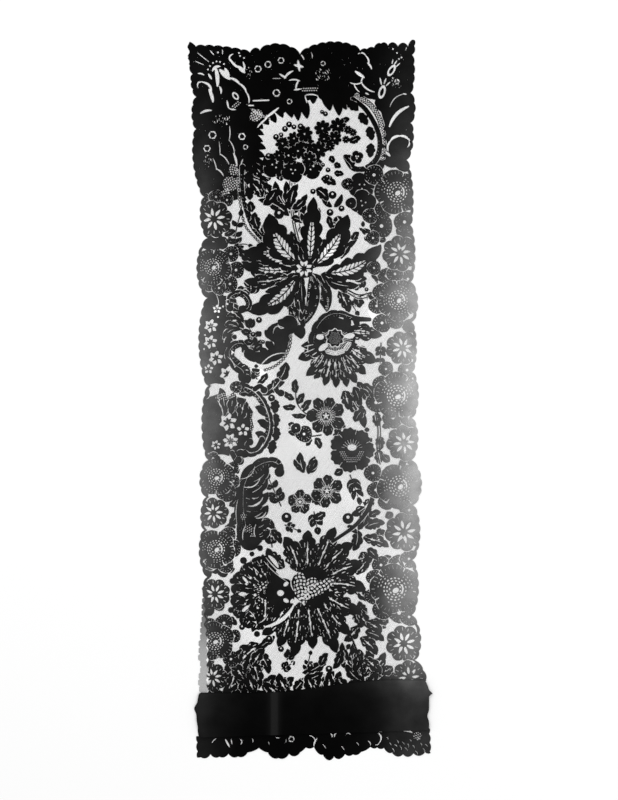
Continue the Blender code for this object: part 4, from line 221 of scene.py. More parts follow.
def length_of(path):
    """The length of a path in mm."""
    return np.hypot(*np.diff(path, axis=0).T).sum()


def daisy(lace, x, y, r, turn, petals=8):
    """A dark scalloped round with light petals about a dark eye, and short light strokes in its rim."""

    def motif(px, py):
        rho, theta = polar(px, py, x, y)
        wave = petals * (theta - turn) / 2
        inside = r * (1 - 0.13 * (1 - np.abs(np.cos(wave)))) - rho
        swing = np.abs(np.sin(wave)) * rho * 2 / petals
        open_to = np.clip((rho / r - 0.17) / 0.44, 0, 1)
        slit = 0.076 * r * np.sin(np.pi * open_to) ** 0.6 * (1 + 0.2 * np.sin(7 * theta + r))
        light = swing - slit + 0.15
        rim = np.abs(np.cos(2 * wave)) * rho / petals - 0.55
        rim = most(rim, np.abs(rho / r - 0.76 - 0.05 * np.sin(5 * theta)) * r - 0.09 * r)
        crease = most(np.abs(np.cos(wave)) * rho * 2 / petals - 0.45, 0.8 * r - rho)
        return inside, least(light, rim, crease)

    lace.lay(around(x, y, r), motif)


def dashes(rho, theta, r, first, last, turn=0.0):
    """Distance to rings of short dashes about a flower's heart."""
    apart = 0.105 * r
    ring = np.floor((rho - first) / apart)
    count = np.round(2 * np.pi * (first + (ring + 0.5) * apart) / (0.15 * r))
    place = (count * (theta - turn) / (2 * np.pi) + 0.5 * (ring % 2)) % 1.0
    along_ring = (np.abs(place - 0.5) - 0.27) * 0.15 * r
    across = np.abs(rho - first - (ring + 0.5) * apart) - 0.026 * r
    return most(along_ring, across, first - rho, rho - last)


def rose(lace, x, y, r, turn, petals=5):
    """A dark lobed round with an open heart, rings of light dashes about it and an arc slit."""

    def motif(px, py):
        rho, theta = polar(px, py, x, y)
        lobe = 1 - 0.13 * (1 - np.abs(np.cos(petals * (theta - turn) / 2)))
        lobe = lobe - 0.015 * np.abs(np.sin(2.5 * petals * (theta - turn)))
        inside = r * lobe - rho
        u = (px - x) * np.cos(turn) + (py - y) * np.sin(turn)
        v = (py - y) * np.cos(turn) - (px - x) * np.sin(turn)
        patch = np.hypot(u / 1.3, v + 0.06 * r) - 0.1 * r
        grain = dashes(rho, theta, r, 0.16 * r, 0.5 * r)
        faint = dashes(rho, theta, r, 0.5 * r, 0.72 * r, 0.3)
        faint = most(faint + 0.008 * r, np.abs(np.sin(1.5 * (theta - turn))) * r * 0.5 - 0.34 * r)
        arc = most(np.abs(rho - 0.3 * r) - 0.035 * r, np.abs(theta - turn + 0.5) * rho - 0.2 * r)
        folds = np.abs(np.sin(petals * (theta - turn) / 2 + np.pi / 2)) * rho * 2 / petals
        crease = most(folds - 0.02 * r, 0.7 * r - rho)
        fine = most(spokes(rho, theta, 17, 0.4), np.abs(rho - 0.84 * r) - 0.07 * r)
        light = least(patch, grain, arc, crease)
        return inside, least(light, faint, fine)

    lace.lay(around(x, y, r), motif)


def lobe(lace, x, y, r, hole=0.16, halo=HALO):
    """A plain round petal with one eyelet."""

    def motif(px, py):
        rho, theta = polar(px, py, x, y)
        inside = r * (1 - 0.05 * np.cos(3 * theta) - 0.03 * np.abs(np.sin(6 * theta))) - rho
        light = rho - hole * r
        if hole and r > 11:
            spots = np.hypot(rho - 0.55 * r, np.sin(2.5 * theta + 0.3 * x) * 0.3 * r) - 0.9
            fine = most(spokes(rho, theta, 8, 0.4), np.abs(rho - 0.78 * r) - 0.09 * r)
            light = least(light, spots, fine)
        return inside, light

    lace.lay(around(x, y, r), motif, halo)


def light_flower(lace, x, y, r, petals=6, turn=0.3):
    """A flower cut open in dark cloth: light petals round a dark eye."""

    def motif(px, py):
        rho, theta = polar(px, py, x, y)
        wave = petals * (theta - turn) / 2
        open_to = np.clip((rho / r - 0.24) / 0.76, 0, 1)
        wide = 1.3 / petals * r * np.sin(np.pi * open_to**1.4) ** 0.7
        wide = wide * (1 + 0.16 * np.sin(9 * rho / r + 5 * theta))
        swing = np.abs(np.sin(wave)) * rho * 2 / petals
        return wide - swing - 0.1, -np.ones(px.shape) * FAR

    lace.cut(around(x, y, r), motif)


def eyelet(lace, x, y, r=7.0, dark=0.66):
    """A ring cut open round a dark dot, slightly six-sided, with a few threads across it."""

    def motif(px, py):
        rho, theta = polar(px, py, x, y)
        threads = 0.6 - np.abs(np.sin(1.5 * (theta + x))) * rho / 1.5
        return r * (1 + 0.06 * np.cos(6 * theta)) - rho, most(dark * r - rho, threads)

    lace.cut(around(x, y, r + 1), motif)


def berry(lace, x, y, r, hole=0.3, halo=1.0):
    """A round berry with a light glint."""

    def motif(px, py):
        rho, _ = polar(px, py, x, y)
        return r - rho, np.hypot(px - x, py - y - 0.25 * r) - hole * r

    lace.lay(around(x, y, r), motif, halo)


def nicks(along_it, side, long, apart):
    """Short slits in staggered rows along a leaf, each of its own length and place."""
    line = np.floor(side / apart)
    place = along_it + long * (0.37 * line + 0.23 * np.sin(5.1 * line))
    cell = np.floor(place / long)
    off = 0.5 + 0.22 * np.sin(3.7 * cell + 2.3 * line)
    wide = 0.56 + 0.5 * np.sin(2.9 * cell + 1.7 * line)
    reach = 0.24 + 0.16 * np.sin(4.3 * cell + 3.1 * line)
    across = np.abs(side / apart - line - off) * apart - wide
    return most(across, np.abs(place / long - cell - 0.5) * long - reach * long)


def leaf(lace, x, y, tip_x, tip_y, wide, sag=0.0, teeth=0, panel=0.0, vein=1.1, halo=HALO, nicked=0.0):
    """A leaf from foot to tip. teeth notches its edge, panel opens its middle, nicked slits its foot."""
    path = bent(x, y, tip_x, tip_y, sag)
    run = length_of(path)

    def motif(px, py):
        away, t, side = along(px, py, path)
        body = np.sin(np.pi * np.clip(t, 0, 1) ** 0.85) ** 0.7
        edge = wide * body
        if teeth:
            lobes = (t * teeth + 0.14 * np.sign(side)) % 1.0
            edge = edge * (0.70 + 0.30 * np.sin(np.pi * lobes**1.5) ** 0.6)
        inside = edge - away
        thread = np.full(px.shape, FAR)
        if panel:
            into = np.clip((t - 0.06) / 0.62, 0, 1)
            ribs = (t * run - 1.1 * away) % 10.0 - 5
            hole = panel * wide * np.sin(np.pi * into) ** 0.75 * (0.82 + 0.05 * np.abs(ribs)) - away
            rib = vein - away
            thread = most(-hole, rib, 1.0 - np.abs(ribs))
        elif vein:
            slit = np.clip((t - 0.12) / 0.62, 0, 1)
            thread = away - 0.055 * wide * np.sin(np.pi * slit) ** 0.5
        if nicked:
            marks = most(nicks(t * run, side, 12.0, 4.6), t - nicked, 2.2 - inside)
            thread = least(thread, marks)
        return inside, thread

    lace.lay(reach_of(path, wide), motif, halo)


def vine(lace, path, wide, end_wide=None, ball=0.0, halo=HALO, slit=0.0, veined=True):
    """A stem along a path, tapered, with an end ball and an optional slit down its middle."""
    path = np.asarray(path, float)
    last = wide if end_wide is None else end_wide
    run = length_of(path)

    def motif(px, py):
        away, t, side = along(px, py, path)
        half = wide + (last - wide) * t
        leafy = np.clip((half - 4) / 4, 0, 1)
        wave = np.abs(np.sin((t * run + 4 * np.sign(side)) * np.pi / (1.1 * wide + 6)))
        inside = half * (1 - 0.26 * leafy * (1 - wave**0.6)) - away
        if ball:
            inside = most(inside, ball - np.hypot(px - path[-1][0], py - path[-1][1]))
        thread = np.full(px.shape, FAR)
        if slit:
            thread = most(away - slit * half, most(0.08 - t, t - 0.86) * FAR)
        rib = np.abs((t * run + 1.3 * away + side) % 7.0 - 3.5) - 0.42
        rib = most(rib, 0.22 * half - away, away - 0.74 * half)
        rib = most(rib, (5 - half) * FAR, most(0.06 - t, t - 0.9) * FAR)
        ends = most(6 - half, 0.1 - t, t - 0.86) * FAR
        line = most(np.abs(side - 0.08 * half) - 0.4, ends)
        if veined:
            thread = least(thread, rib, line)
        return inside, thread

    lace.lay(reach_of(path, max(wide, last, ball)), motif, halo)


def beads(lace, path, r, pitch, hole=0.32, halo=0.8):
    """A string of beads along a path."""
    path = np.asarray(path, float)
    run = length_of(path)

    def motif(px, py):
        away, t, side = along(px, py, path)
        place = (t * run) % pitch - pitch / 2
        rho = np.hypot(place, side)
        inside = most(r - rho, 0.9 - away)
        return inside, rho - hole * r

    lace.lay(reach_of(path, r), motif, halo)


def slit(lace, x, y, tip_x, tip_y, wide, sag=0.0):
    """A tapered light slit."""
    path = bent(x, y, tip_x, tip_y, sag, 8)

    def motif(px, py):
        away, t, _ = along(px, py, path)
        half = wide * np.sin(np.pi * (0.08 + 0.84 * t)) ** 0.6
        return half - away, -np.ones(px.shape) * FAR

    lace.cut(reach_of(path, wide + 1), motif)


def opening(lace, x, y, a, b, turn=0.0, fill=None, pitch=4.5, thread=0.9):
    """An open oval, or one filled with dots, bars, specks or a lattice."""
    c, s = np.cos(np.radians(turn)), np.sin(np.radians(turn))
    room = max(a, b) + 1

    def motif(px, py):
        u = (px - x) * c + (py - y) * s
        v = (py - y) * c - (px - x) * s
        k = np.hypot(u / a, v / b)
        inside = (1 - k) * min(a, b)
        if fill == "bars":
            kept = thread - np.abs(v % pitch - pitch / 2)
        elif fill == "lattice":
            wavy_u = u + 1.3 * np.sin(v / 3.1 + x)
            wavy_v = v + 1.3 * np.sin(u / 3.7 + y)
            bar = thread - np.abs(wavy_u % pitch - pitch / 2)
            kept = most(bar, thread - np.abs(wavy_v % pitch - pitch / 2))
        elif fill == "dots":
            kept = dots(u, v, pitch, pitch * 0.3)
        elif fill == "specks":
            kept = nicks(v, u, 7.5, 3.4)
        else:
            kept = np.full(px.shape, -FAR)
        return inside, kept

    lace.cut(around(x, y, room), motif)


def posy(lace, x, y, r, turn=0.3, petals=8, halo=1.2):
    """A small dark flower seen whole, with a lobed edge and one light dot."""

    def motif(px, py):
        rho, theta = polar(px, py, x, y)
        wave = petals * (theta - turn) / 2
        inside = r * (1 - 0.26 * (1 - np.abs(np.cos(wave)))) - rho
        split = np.abs(np.cos(wave)) * rho * 2 / petals - 0.35
        split = most(split, 0.62 * r - rho)
        return inside, least(rho - 0.11 * r, split)

    lace.lay(around(x, y, r), motif, halo)


def trellis(lace, path, wide, pitch=5.0, rim=1.3, halo=1.0):
    """A narrow band of crossed bars."""
    path = np.asarray(path, float)
    run = length_of(path)

    def motif(px, py):
        away, t, side = along(px, py, path)
        inside = wide - away
        u = (t * run + side) % pitch - pitch / 2
        v = (t * run - side) % pitch - pitch / 2
        bars = 0.75 - least(np.abs(u), np.abs(v))
        return inside, most(bars, away - wide + rim)

    lace.lay(reach_of(path, wide), motif, halo)


def sprig(lace, x, y, tip_x, tip_y, pairs, long, wide, sag=0.0, open_out=48):
    """A stem with pairs of leaves and one at its tip."""
    path = bent(x, y, tip_x, tip_y, sag, 10)
    vine(lace, path, 1.3, 0.9, halo=1)
    for k in range(pairs):
        at = int(round((0.18 + 0.72 * k / max(pairs, 1)) * 10))
        foot = path[at]
        ahead = path[min(at + 1, 10)] - path[at - 1]
        angle = np.arctan2(ahead[1], ahead[0])
        for way in (1, -1):
            turn = angle + way * np.radians(open_out)
            size = long * (1 - 0.25 * k / max(pairs, 1))
            end = foot + size * np.array((np.cos(turn), np.sin(turn)))
            leaf(lace, foot[0], foot[1], end[0], end[1], wide, sag=0.12 * way, vein=0.8, halo=1)
    ahead = path[-1] - path[-2]
    end = path[-1] + long * 0.8 * ahead / np.hypot(*ahead)
    leaf(lace, path[-1][0], path[-1][1], end[0], end[1], wide, vein=0.8, halo=1)


def husk(lace, x, y, angle, long, wide):
    """A bell-shaped husk: a short notched leaf about its middle."""
    c, s = np.cos(np.radians(angle)), np.sin(np.radians(angle))
    leaf(lace, x - c * long / 2, y - s * long / 2, x + c * long / 2, y + s * long / 2,
         wide, teeth=3, vein=0, halo=1.1)


def each(lace, motif, table, **looks):
    """Draws one motif for each row of a table, all with the same looks."""
    for row in table:
        motif(lace, **row, **looks)


LEFT_EDGE = rows(
    "y x bulge",
    (718, -247, 4), (650, -238, 5), (604, -230, 8), (540, -230, 13), (404, -214, 10), (322, -208, 20),
    (202, -208, 17), (26, -206, 12), (-122, -206, 14), (-196, -210, 8), (-262, -214, 12), (-356, -208, 10),
    (-442, -210, 14), (-526, -214, 8), (-582, -222, 4), (-722, -226, 0),
)
RIGHT_EDGE = rows(
    "y x bulge",
    (724, 204, 4), (688, 203, 5), (612, 200, 8), (552, 200, 8), (478, 192, 8), (348, 199, 8),
    (234, 200, 12), (154, 202, 8), (54, 203, 12), (-38, 202, 12), (-122, 201, 18), (-212, 204, 14),
    (-322, 203, 12), (-432, 202, 14), (-522, 208, 12), (-582, 226, 4), (-722, 238, 0),
)
TOP_EDGE = rows(
    "x y bulge",
    (-250, 716, 1), (-230, 706, 5), (-122, 694, 5), (-102, 698, 16), (-22, 690, 20), (98, 698, 0),
    (126, 704, 6), (154, 708, 5), (174, 706, 5), (194, 706, 9), (212, 710, 3), (250, 710, 0),
)
DAISIES = rows(
    "x y r turn",
    (-194, 360, 37, 0.2), (-195, -228, 31, 0.1), (-192, -390, 31, 0.35), (-197, -557, 30, 0.2),
    (178, 291, 36, 0.2), (183, 102, 34, 0.3), (186, -88, 36, 0.1), (186, -266, 39, 0.2),
    (186, -489, 37, 0.3), (196, -556, 34, 0.1),
)
ROSES = rows(
    "x y r turn",
    (-196, 264, 38, 0.9), (-189, -156, 38, 0.3), (-190, -300, 40, 0.8), (-192, -484, 40, 0.5),
    (172, 414, 46, 0.6), (174, 198, 43, 1), (173, 7, 48, 0.4), (177, -174, 47, 0.9), (168, -380, 52, 0.5),
)
ROUND_LOBES = rows(
    "x y r",
    (-160, 290, 16), (-150, 258, 17), (-162, 230, 16), (140, 214, 17), (131, 186, 16), (142, 152, 19),
    (168, 158, 18), (141, 346, 23), (187, 354, 21), (130, -7, 20), (140, 30, 17), (164, -38, 21),
    (124, -148, 18), (129, -182, 17), (150, -206, 16), (73, 430, 12), (80, 392, 11), (-156, -137, 12),
    (-155, -164, 13), (-170, -186, 20), (-166, -272, 16), (-156, -299, 17), (-171, -331, 17),
    (-202, -330, 13), (-153, -474, 13), (-174, -448, 18), (-203, -452, 14), (140, -332, 18),
    (126, -357, 16), (124, -394, 17), (143, -421, 20), (176, -428, 21), (174, -330, 19), (150, 246, 16),
    (194, 240, 18), (168, 250, 17), (196, -436, 18), (-160, -520, 16), (-206, -520, 14), (150, 60, 15),
    (192, 58, 18), (196, -38, 18), (192, -130, 16), (196, -222, 18), (196, -320, 18), (126, 448, 20),
    (-214, 398, 13), (-190, 404, 14), (-168, 398, 13), (-206, 230, 15), (-184, 222, 14), (-214, 12, 12),
    (-212, -128, 12), (-190, -122, 10), (-150, 24, 12), (-196, -118, 12), (-218, -400, 12), (124, 322, 14),
    (118, 366, 15), (146, 380, 18), (126, 262, 14), (-14, -70, 17), (-30, -58, 10),
)
PANSIES = rows(
    "x y r turn",
    (102, 426, 28, 0.5), (104, 392, 27, 0.2), (0, 464, 25, 0.3), (-72, 468, 27, 0.9), (-36, 456, 24, 0.4),
    (-48, 496, 20, 0.7), (92, 484, 13, 0.4), (-16, 500, 18, 0.2),
)
LIGHT_FLOWERS = rows(
    "x y r petals",
    (-200, 146, 14, 6), (-201, 114, 14, 6), (-190, 82, 15, 6), (-167, 50, 16, 6), (-166, -46, 18, 6),
    (-136, -62, 13, 5), (-161, -84, 16, 7), (-190, -92, 10, 6), (-205, 60, 10, 5), (-188, 180, 9, 5),
)
EYELETS = rows(
    "x y r",
    (-106, 660, 7), (-86, 669, 7), (-60, 677, 6.5), (-69, 612, 7.5), (-43, 595, 5.5), (-197, 528, 8),
    (-138, 525, 7), (-208, 501, 7), (-131, 504, 5), (24, 671, 5), (172, 635, 5),
)
TOP_SLITS = rows(
    "x y tip_x tip_y wide sag",
    (-228, 693, -204, 674, 0.9), (-202, 697, -194, 688, 1.2), (-179, 707, -177, 689, 0.9, 0.05),
    (-232, 676, -214, 668, 0.8), (-226, 651, -214, 648, 1.6, 0.1), (-191, 662, -187, 626, 4, 0.05),
    (-197, 656, -182, 665, 2.8, 0.2), (-182, 658, -163, 640, 5), (-172, 661, -164, 646, 3.6),
    (-205, 650, -199, 640, 2.2), (-183, 625, -180, 611, 2.2, 0.1), (-162, 642, -142, 629, 2.6, 0.1),
    (-144, 631, -129, 612, 2.2, 0.12), (-129, 613, -124, 592, 1.7, 0.1), (-156, 690, -161, 675, 1.6, -0.3),
    (-161, 679, -142, 662, 2.4, -0.1), (-145, 665, -133, 653, 4), (-136, 674, -134, 655, 2, 0.1),
    (-226, 622, -216, 634, 1.5, 0.4), (-218, 634, -200, 610, 2.4, 0.25), (-204, 619, -196, 594, 3.4, 0.05),
    (-221, 571, -199, 577, 2.5, 0.1), (-168, 597, -165, 582, 1.8), (-166, 584, -150, 579, 1.3, -0.15),
    (-33, 668, -16, 664, 3.2), (-26, 677, -23, 656, 2.8), (-63, 650, -50, 642, 2.2),
    (-53, 641, -36, 656, 2.3, 0.1), (-78, 641, -60, 641, 0.8), (-44, 637, -22, 636, 1.7, 0.1),
    (-24, 637, -30, 620, 1.9, -0.1), (-34, 618, -20, 620, 1.8), (-92, 561, -65, 582, 2.5),
    (-107, 543, -88, 561, 1.8, 0.05), (-12, 607, 14, 606, 1.4, 0.1), (-12, 606, -8, 592, 1.5),
    (12, 607, 19, 595, 1.3), (94, 690, 110, 686, 1.4, 0.25), (109, 687, 115, 668, 1.7, 0.15),
    (113, 672, 121, 660, 1.9, 0.1), (89, 655, 106, 643, 3.2), (104, 644, 100, 635, 1.5),
    (78, 633, 103, 634, 1.3, -0.15), (100, 634, 127, 614, 1.7, -0.12), (86, 631, 97, 614, 1.3, -0.1),
    (109, 612, 115, 609, 1.7), (166, 668, 172, 677, 1.4), (170, 664, 178, 672, 1.4),
    (162, 670, 164, 679, 1.2), (141, 628, 138, 642, 1.6), (146, 630, 150, 641, 1.6),
    (150, 626, 158, 634, 1.6), (158, 584, 186, 610, 1, 0.16), (184, 611, 191, 609, 1.6),
    (157, 545, 195, 585, 3.4, 0.12), (189, 697, 196, 711, 0.9, 0.05), (154, 496, 160, 517, 2.2, 0.15),
    (159, 516, 178, 526, 2.6, 0.15), (177, 526, 195, 519, 2.4, 0.15), (195, 521, 193, 504, 1.8, 0.2),
    (150, 494, 158, 486, 2.6), (-163, 546, -164, 516, 0.9, 0.05), (-164, 518, -153, 488, 1, 0.1),
    (-155, 491, -148, 466, 2.2, 0.05), (-184, 516, -182, 488, 0.9, 0.03), (-182, 490, -164, 469, 1.3, 0.1),
    (-196, 481, -189, 458, 1.1, 0.05), (-190, 461, -175, 446, 1.5, 0.1), (-198, 409, -157, 392, 2.2, 0.12),
    (-133, 458, -133, 420, 1), (-133, 421, -127, 390, 1, 0.05), (-140, 470, -136, 480, 1.2),
    (0, 694, 2, 680, 0.8, 0.1), (-22, 690, -14, 678, 1.4, 0.1),
)
TOP_OPENINGS = rows(
    "x y a b turn fill",
    (-100, 597, 17, 3.6, 2, "bars"), (-120, 587, 6, 2.4, 0, "bars"), (-110, 567, 14, 11, 38, "lattice"),
    (-156, 458, 9, 12, 0, "lattice"), (-162, 430, 15, 15, 30, "lattice"), (-170, 414, 9, 6, 0, "lattice"),
    (-178, 558, 20, 11, 0, "specks"), (-124, 652, 6, 12, 0, "specks"), (24, 648, 18, 14, 20, "specks"),
    (-206, 476, 9, 13, 0, "specks"), (170, 632, 9, 14, 30, "specks"), (-3, 619, 19, 5, 2, "dots"),
    (-150, 588, 12, 5, 40, "dots"),
)
BUD_RINGS = rows(
    "x y a b turn",
    (-151, 606, 9, 5.5, 128), (161, 657, 13, 6.5, 58), (142, 614, 14, 7, 74),
)
BOUQUET = rows(
    "x y r turn",
    (-57, 511, 15, 0.2), (-34, 521, 14, 0.7), (-45, 487, 18, 0.4), (-26, 496, 16, 0.1), (-64, 487, 12, 0.5),
    (-6, 512, 13, 0.3), (-13, 530, 17, 0.2), (23, 541, 17, 0.7), (54, 546, 17, 0.1), (47, 521, 15, 0.5),
    (26, 520, 13, 0.1), (15, 498, 18, 0), (74, 538, 9, 0.4), (84, 533, 8, 0.1), (-4, 480, 15, 0.6),
    (70, 519, 8, 0.3), (38, 505, 10, 0.2),
)
STAR_LEAVES = rows(
    "x y tip_x tip_y wide sag teeth panel",
    (-12, 262, -40, 336, 17, 0.06, 3), (2, 262, 46, 326, 14, -0.04, 3), (-20, 250, -17, 172, 9, 0, 3),
    (20, 250, 74, 212, 15, 0.06, 3), (30, 240, 96, 228, 12, -0.1, 3), (-22, 250, -58, 206, 14, -0.1, 3),
    (-30, 244, -92, 214, 14, 0.1, 3), (-28, 246, -128, 176, 26, 0.13, 4, 0.36),
    (-32, 258, -134, 288, 27, -0.16, 4, 0.42), (30, 252, 140, 309, 25, -0.14, 4, 0.4),
    (6, 266, 73, 369, 27, -0.08, 4, 0.38), (-26, 272, -84, 371, 31, 0.1, 4, 0.4),
    (-3, 268, 5, 404, 23, 0, 5, 0.3),
)
LEAVES = rows(
    "x y tip_x tip_y wide sag teeth panel",
    (-42, 372, -100, 447, 16, 0.1, 4), (-42, 378, -72, 436, 12, 0.1, 3), (-42, 378, -50, 436, 11, 0, 3),
    (-40, 384, -26, 430, 11, 0.1, 3), (-38, 380, -8, 410, 9, -0.1, 3), (-44, 366, -106, 398, 11, -0.1, 3),
    (-40, 362, -14, 352, 8, 0.1, 2), (42, 384, 22, 410, 6, 0.1), (46, 384, 62, 410, 6, -0.1),
    (34, 366, 42, 340, 7, 0, 2), (46, 352, 62, 364, 6, 0.1), (-6, 352, -20, 372, 6, 0.1),
    (20, 372, 4, 392, 6, 0.1), (38, 486, 46, 472, 7, 0, 2), (46, 470, 60, 464, 7, 0, 2),
    (46, 452, 66, 450, 7, 0, 2), (78, 512, 100, 522, 9, 0.1, 3), (60, 552, 78, 560, 7, 0.1, 2),
    (66, 484, 82, 462, 8, 0.3), (-104, 340, -112, 374, 11, 0.1, 3), (-94, 330, -86, 352, 9, 0.1, 2),
    (-76, 312, -60, 330, 8, 0.1, 2), (-118, 374, -122, 396, 9, 0, 2), (126, 260, 130, 234, 8, 0.1, 2),
    (102, 246, 106, 222, 7, 0, 2), (120, 336, 96, 342, 5, 0.1), (104, 344, 104, 356, 4),
    (104, 340, 108, 328, 4), (84, 316, 96, 334, 8, 0.1, 2), (60, 280, 92, 318, 8, 0.1, 2),
    (-122, 212, -146, 216, 8, 0.1, 2), (-38, 224, -36, 134, 15, 0.05, 4), (-44, 186, -20, 122, 14, 0.1, 4),
    (56, 218, 76, 172, 13, 0.05, 4), (92, 208, 98, 182, 10, 0, 3), (-182, 22, -172, -34, 10, 0.05, 3),
    (-155, 14, -161, -32, 10, 0, 3), (-133, -2, -141, -42, 13, 0, 3), (-148, 11, -102, 8, 10, 0.1, 3),
    (70, 14, 108, -58, 15, 0.06, 4), (92, 34, 106, 0, 9, 0.1, 3), (104, 30, 128, 0, 9, 0.1, 3),
    (98, 20, 118, -18, 8, 0.1, 2), (124, -198, 80, -232, 13, 0.1, 4), (113, -220, 94, -262, 11, 0.05, 4),
    (108, -258, 148, -248, 12, 0.1, 4), (104, -278, 156, -296, 13, 0.08, 4),
    (92, -262, 84, -304, 12, 0.1, 3), (104, -256, 118, -226, 9, 0.1, 3), (116, -236, 140, -226, 8, 0.1, 2),
    (100, -306, 108, -344, 14, 0.1, 4), (112, -300, 132, -322, 10, 0.1, 3),
    (88, -418, 100, -458, 16, 0.1, 4), (112, -430, 96, -404, 10, 0.1, 3),
    (116, -448, 150, -458, 12, 0.1, 4), (108, -466, 146, -484, 12, 0.1, 4),
    (102, -560, 84, -488, 14, 0.06, 5), (100, -556, 62, -486, 13, 0.14, 5),
    (106, -556, 116, -496, 14, -0.06, 5), (110, -552, 148, -506, 13, -0.1, 4),
    (104, -566, 70, -530, 12, 0.1, 4), (118, -560, 150, -534, 13, 0, 4),
    (-98, -492, -154, -560, 22, -0.14, 5), (-110, -504, -84, -550, 13, 0.1, 4),
    (-118, -520, -104, -580, 14, 0.05, 4), (-140, -500, -176, -548, 14, 0.1, 4),
    (-150, -540, -176, -590, 16, 0.1, 4), (-130, -540, -132, -596, 17, 0, 4),
    (-72, -474, -112, -504, 9, 0, 2), (-92, -586, -70, -552, 12, 0.1, 3), (-74, -586, -50, -556, 12, 0, 3),
    (-54, -586, -34, -556, 11, 0.1, 3), (-34, -584, -12, -558, 11, 0, 3), (-10, -584, 12, -550, 12, 0.1, 3),
    (14, -584, 26, -550, 11, 0, 3), (30, -584, 46, -544, 13, 0.1, 3), (48, -584, 58, -544, 11, 0, 3),
    (64, -584, 66, -562, 9, 0, 2), (30, -520, -18, -548, 11, 0.1, 4), (24, -546, -20, -560, 9, 0.1, 3),
    (20, -534, 34, -508, 9, 0.1, 3), (128, -590, 158, -556, 14, 0.1, 3),
    (-176, -596, -196, -580, 11, 0.1, 3), (-36, 262, -140, 274, 22, 0.1, 5, 0.3),
    (-44, 246, -134, 236, 17, 0.06, 4), (-80, 440, -114, 472, 15, 0.1, 4), (-60, 436, -62, 480, 13, 0, 4),
    (-34, 430, -22, 474, 12, 0, 3), (-96, 404, -124, 442, 13, 0, 4), (-70, 420, -96, 388, 12, 0.1, 3),
    (-52, -336, -88, -298, 15, 0.1, 4), (10, 420, 34, 396, 12, 0.1, 3), (20, 440, 50, 428, 10, 0.1, 3),
    (-112, 282, -146, 300, 12, 0.1, 3), (-4, -196, 26, -214, 11, 0.1, 3), (28, -226, 4, -238, 9, 0.1, 3),
    (-30, 252, -70, 214, 16, 0.1, 4), (-29, 12, -30, 40, 8, 0.1, 2), (-33, 0, -55, 16, 7, 0.1, 2),
    (-28, -10, -14, 12, 8, 0, 2), (-31, -14, -57, -15, 7, 0.1, 2), (-16, -26, 1, -2, 8, 0.1, 2),
    (-10, -32, -39, -31, 6, 0.1, 2), (8, -78, 18, -100, 8, 0.1, 2), (-2, -76, -10, -94, 6, 0.1, 2),
    (-14, -148, -22, -106, 10, 0.06, 2), (-6, -150, 8, -114, 9, 0, 2), (-18, -142, -34, -120, 6, 0.1, 2),
    (0, -148, 14, -134, 5, 0.1), (-50, 74, -76, 30, 12, 0.14, 3), (-62, 44, -100, 8, 11, 0.1, 3),
    (-88, 52, -108, 30, 7, 0.1, 2), (-46, -50, -26, -62, 7, 0.1, 2), (-46, -66, -24, -76, 6, 0.1, 2),
)
SPRIGS = rows(
    "x y tip_x tip_y pairs long wide sag open_out",
    (-14, 402, -22, 344, 3, 18, 5, -0.1, 44), (-152, 300, -142, 366, 3, 17, 5, 0.05, 50),
    (-152, 300, -126, 308, 1, 14, 4, 0.2, 40), (-98, 226, -134, 222, 3, 18, 5, 0, 44),
    (-112, 96, -128, 148, 2, 17, 5, -0.1, 50), (-108, 40, -122, 58, 2, 11, 3, 0, 50),
    (132, 232, 152, 262, 1, 20, 4.5, 0.1, 60), (78, 196, 90, 176, 1, 14, 5, 0, 50),
    (112, 200, 132, 222, 1, 12, 4, 0, 60), (140, 112, 138, 66, 3, 13, 4.4, 0, 50),
    (78, -152, 94, -196, 3, 24, 5, 0, 30), (-60, -214, -84, -160, 3, 20, 6, 0, 50),
    (6, -226, 12, -256, 2, 20, 7, 0, 36), (-52, -252, -28, -262, 2, 12, 4, 0, 50),
    (-78, -296, -82, -256, 3, 18, 5, 0, 40), (-48, -522, -36, -498, 2, 13, 5, 0, 50),
    (-58, -540, -40, -530, 2, 12, 5, 0, 50), (-10, -548, -2, -512, 2, 12, 4, 0, 44),
    (128, -268, 150, -272, 2, 13, 5, 0, 46), (60, -520, 72, -500, 1, 15, 5, 0, 44),
    (-124, 90, -108, 126, 1, 15, 6, 0.1, 60), (-108, 100, -122, 150, 1, 15, 6, 0.1, 30),
    (-112, 44, -110, 62, 3, 10, 4, 0, 60), (112, -90, 112, -66, 1, 12, 5, 0, 50),
    (100, 186, 92, 200, 1, 12, 5, 0, 50), (52, -72, 62, -58, 1, 12, 5, 0, 50),
)
BERRIES = rows(
    "x y r",
    (4, 415, 5.5), (43, 408, 8), (61, 381, 6), (38, 373, 7), (-64, 370, 10), (-28, 226, 5), (91, 222, 5),
    (111, 219, 4), (111, 321, 5), (138, 248, 4.5), (-116, 129, 5), (-96, 114, 4), (-49, -237, 10),
    (74, -239, 11), (46, 348, 6), (-84, -480, 7), (-60, -500, 6), (36, -540, 7), (-2, -534, 6),
    (-138, -456, 6), (-104, 158, 6), (-52, 540, 6), (-44, 549, 6), (-34, 544, 5), (-21, 545, 6),
    (13, 469, 4), (24, 468, 4), (34, 458, 5), (32, 443, 6), (-60, 528, 5), (-70, 524, 6), (29, 570, 5),
    (22, 574, 4), (-85, 486, 6), (4, 386, 5), (130, 318, 4),
)
SEED_FLOWERS = rows(
    "x y r petals",
    (30, -34, 38, 7), (32, -184, 32, 6), (-22, -206, 24, 5),
)
